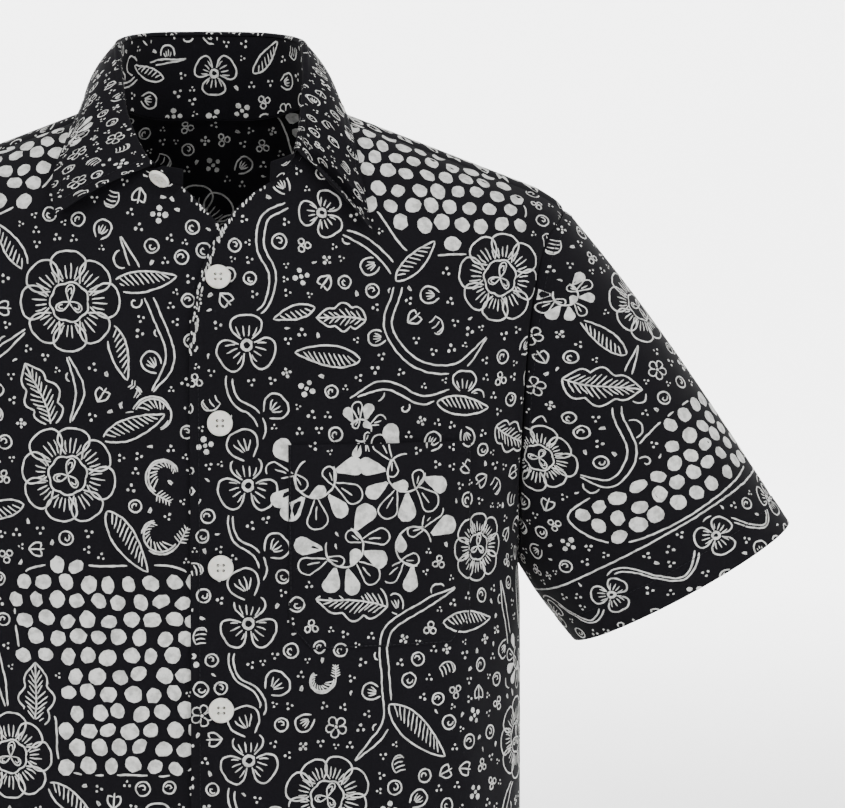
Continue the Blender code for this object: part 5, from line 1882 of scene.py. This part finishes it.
left_cloth = left_front_cloth()
right_cloth = panel_cloth((-272.0, -70.0), (24.0, 712.0), 12, RIGHT_MOTIFS, RIGHT_STEMS, RIGHT_PATCHES,
                          RIGHT_EDGE)
back_cloth = panel_cloth((-270.0, -70.0), (270.0, 712.0), 13, BACK_MOTIFS, BACK_STEMS, BACK_PATCHES)
lay("front_left_print", left_cloth, CLOTH_NODES["front_left"], LEFT_PLACE, WAX,
    window=lambda middle: not under_pocket(middle))
lay("front_right_print", right_cloth, CLOTH_NODES["front_right"], RIGHT_PLACE, WAX)
lay("back_print", back_cloth, CLOTH_NODES["back"], BACK_PLACE, WAX)
lay("pocket_print", left_cloth, CLOTH_NODES["pocket"], on_pocket, WAX,
    window=lambda middle: 30.0 < middle[0] < 176.0 and 196.0 < middle[1] < 342.0)
# The inner prints take the darker copy of the print: painted shade inside the shirt.
lay("back_inner_print", back_cloth, CLOTH_NODES["back"], BACK_PLACE, WAX_PAINTED_SHADE, side=-1.0,
    window=lambda middle: abs(middle[0]) < 130.0 and middle[1] < 210.0 or middle[1] > 590.0)
for node, drawn, place in (("front_left", left_cloth, LEFT_PLACE), ("front_right", right_cloth, RIGHT_PLACE)):
    lay(node + "_inner_print", drawn, CLOTH_NODES[node], place, WAX_PAINTED_SHADE, side=-1.0,
        window=lambda middle: middle[1] > 610.0)
for node, hand, seed_number in (("sleeve_left", 1.0, 21), ("sleeve_right", -1.0, 22)):
    drawn = sleeve_cloth(seed_number)
    lay(node + "_print", drawn, CLOTH_NODES[node], sleeve_place(hand), WAX)
    lay(node + "_inner_print", drawn, CLOTH_NODES[node], sleeve_place(hand), WAX_PAINTED_SHADE, side=-1.0,
        window=lambda middle: middle[1] < 90.0)

fall_cloth = small_cloth((-400.0, -4.0), (400.0, 110.0), 31, [
    Motif("rose", 30.0, 46.0, 13.0, 0.0), Motif("rose", -40.0, 40.0, 13.0, 0.0),
    Motif("leaf", 80.0, 40.0, 30.0, 40.0), Motif("leaf", -86.0, 40.0, 30.0, 130.0),
    Motif("wheel", 168.0, 46.0, 20.0, 0.0), Motif("wheel", 227.0, 60.0, 20.0, 0.0),
    Motif("feather", -164.0, 44.0, 14.0, 0.0), Motif("wheel", -231.0, 50.0, 20.0, 60.0),
    Motif("fan", -190.0, 76.0, 16.0, 120.0),
], [[(-20.0, 60.0), (0.0, 30.0), (14.0, 42.0)], [(48.0, 60.0), (64.0, 34.0), (80.0, 40.0)]])
lay("collar_fall_print", fall_cloth, CLOTH_NODES["collar_fall"],
    grid_place(FALL_FACE, FALL_NORMAL, 16, 84, 2.0), WAX)

STAND_PLACES = np.linspace(-1.0, 1.0, 161)
STAND_BASE, _ = neck_base(STAND_PLACES)
_, STAND_UP, STAND_OUT = roll_frame(STAND_PLACES, STAND_BASE)
STAND_TOP = top_point(STAND_PLACES) - STAND_UP * 3.0
STAND = STAND_BASE + (STAND_TOP - STAND_BASE) * np.linspace(0.0, 1.0, 12)[:, None, None]
STAND_NORMAL = np.tile(STAND_OUT, (12, 1, 1))
stand_cloth = small_cloth((-200.0, -4.0), (200.0, 70.0), 32, [
    Motif("rose", 4.0, 30.0, 15.0, 0.0), Motif("leaf", -30.0, 26.0, 26.0, 160.0),
    Motif("leaf", 30.0, 30.0, 28.0, 20.0), Motif("fan", 80.0, 24.0, 15.0, 0.0),
    Motif("fan", -90.0, 28.0, 15.0, 180.0),
], [[(-86.0, 10.0), (-60.0, 16.0), (-40.0, 34.0), (-16.0, 40.0)]])
lay("collar_stand_inner_print", stand_cloth, CLOTH_NODES["collar_stand"],
    grid_place(STAND, STAND_NORMAL, 6, 80), WAX, side=-1.0)
lay("collar_stand_print", stand_cloth, CLOTH_NODES["collar_stand"],
    grid_place(STAND, STAND_NORMAL, 6, 80), WAX)

# Stitching.
lines = []


def add_line(target, place, flat, side=1.0):
    found = landed_line(np.asarray(flat, float), place, CLOTH_NODES[target], side)
    if found:
        lines.append(found)


add_line("front_left", LEFT_PLACE, [(-13.0, t) for t in range(150, 698, 4)])
add_line("front_right", RIGHT_PLACE, [(13.0, t) for t in range(150, 698, 4)])
for target, place in (("front_left", LEFT_PLACE), ("front_right", RIGHT_PLACE), ("back", BACK_PLACE)):
    add_line(target, place, [(s, 700.0 - HEM_TURN) for s in range(-270, 271, 4)])
for target, hand in (("sleeve_left", 1.0), ("sleeve_right", -1.0)):
    add_line(target, sleeve_place(hand), [(s, HEM_TURN) for s in range(0, 448, 4)])
grid = draw_in(FALL_FACE)
left, right, _, bottom = edge_distance(FALL)
row = int(np.argmin(np.abs(bottom[:, 84] - 6.0)))
points, normals = grid_line(grid, FALL_NORMAL, row=row)
near = int(np.argmin(np.abs(left[row] - 6.0)))
far = int(np.argmin(np.abs(right[row] - 6.0)))
lines.append((points[near:far + 1], normals[near:far + 1]))
for column in (near, far):
    points, normals = grid_line(grid, FALL_NORMAL, column=column)
    lines.append((points[8:row + 1], normals[8:row + 1]))
pocket_x, pocket_reach = pocket_grid()
pocket_normal = trunk_normal(pocket_x, pocket_reach)
pocket_base = trunk(pocket_x, pocket_reach) + pocket_normal * (lap(1.0, pocket_x) + 1.4)[..., None]
for picked in (np.s_[:, 1], np.s_[:, -2], np.s_[-2]):
    lines.append((pocket_base[picked] + pocket_normal[picked] * 0.4, pocket_normal[picked]))
for hand, rim_hand in ((1.0, "left"), (-1.0, "right")):
    turn = np.arange(0, 224) / 224.0
    length = np.linalg.norm(hem_point(turn) - rim_at(turn), axis=1)
    flat = np.stack([turn * 448.0, length - 6.0], axis=-1)
    add_line(f"sleeve_{rim_hand}", sleeve_place(hand), flat)
stitches("stitching", [line for line in lines if line is not None and len(line[0]) > 2], THREAD)

# Buttons and their holes.
BUTTON_TOP_Z = -102.0
BUTTON_PITCH = 88.5
threads = []
for k in range(6):
    z = np.array([BUTTON_TOP_Z - BUTTON_PITCH * k])
    x = np.array([0.0])
    reach = on_form(x, z, -1.0)
    normal = trunk_normal(x, reach)[0]
    at = trunk(x, reach)[0] + normal * (LAP_STEP + 0.6)
    threads += button(f"button_{k + 1}_turned", f"button_{k + 1}", 7.9, Vector(at), Vector(normal), BUTTON)
threads += button("collar_button_turned", "collar_button", 7.0, Vector((-35.0, -74.0, -39.5)),
       Vector((-0.50, -0.52, -0.70)).normalized(), BUTTON)
tube("button_thread", threads, PALE_THREAD, 0.22)

# ---- floor, light and camera ----
FLOOR_Z = -0.712
WALL_FROM = 5.0
WALL_BEND = 1.6
lane = [(-8.0, FLOOR_Z), (WALL_FROM, FLOOR_Z)]
lane += [(WALL_FROM + WALL_BEND * math.sin(a), FLOOR_Z + WALL_BEND * (1 - math.cos(a)))
         for a in np.linspace(0.1, math.pi / 2, 14)]
lane += [(WALL_FROM + WALL_BEND, 6.0)]
floor = mesh_piece("studio_floor", [(x, y, z) for y, z in lane for x in (-8.0, 8.0)],
                   [(2 * k, 2 * k + 1, 2 * k + 3, 2 * k + 2) for k in range(len(lane) - 1)], floor_material())

world = bpy.data.worlds.new("studio")
bpy.context.scene.world = world
world.use_nodes = True
world.node_tree.nodes["Background"].inputs["Color"].default_value = (1.0, 1.0, 1.0, 1.0)
world.node_tree.nodes["Background"].inputs["Strength"].default_value = 1.15


def soft_light(name, at, aim, size, power):
    data = bpy.data.lights.new(name, "AREA")
    data.shape = "DISK"
    data.size = size
    data.energy = power
    thing = link(name, data)
    thing.location = at
    thing.rotation_mode = "QUATERNION"
    thing.rotation_quaternion = (Vector(aim) - Vector(at)).to_track_quat("-Z", "Y")


# name, place, aim, diameter, watts
soft_light("key", (-1.6, -2.4, 1.9), (0.0, 0.0, -0.25), 1.3, 40.0)
soft_light("fill", (2.0, -2.0, 0.6), (0.0, 0.0, -0.25), 1.6, 16.0)
soft_light("wall_left", (-2.2, 3.0, 2.4), (-0.4, 6.4, -0.2), 2.4, 520.0)
soft_light("wall_right", (2.6, 3.0, 2.4), (0.8, 6.4, -0.2), 2.4, 520.0)

camera = link("camera", bpy.data.cameras.new("camera"))
bpy.context.scene.camera = camera
camera.location = (-0.09, -2.5, 0.0)
camera.data.sensor_width = 36.0
camera.data.lens = 165.0
camera.rotation_mode = "QUATERNION"
camera.rotation_quaternion = (Vector((0.1362, 0.0, -0.1879)) - camera.location).to_track_quat("-Z", "Y")
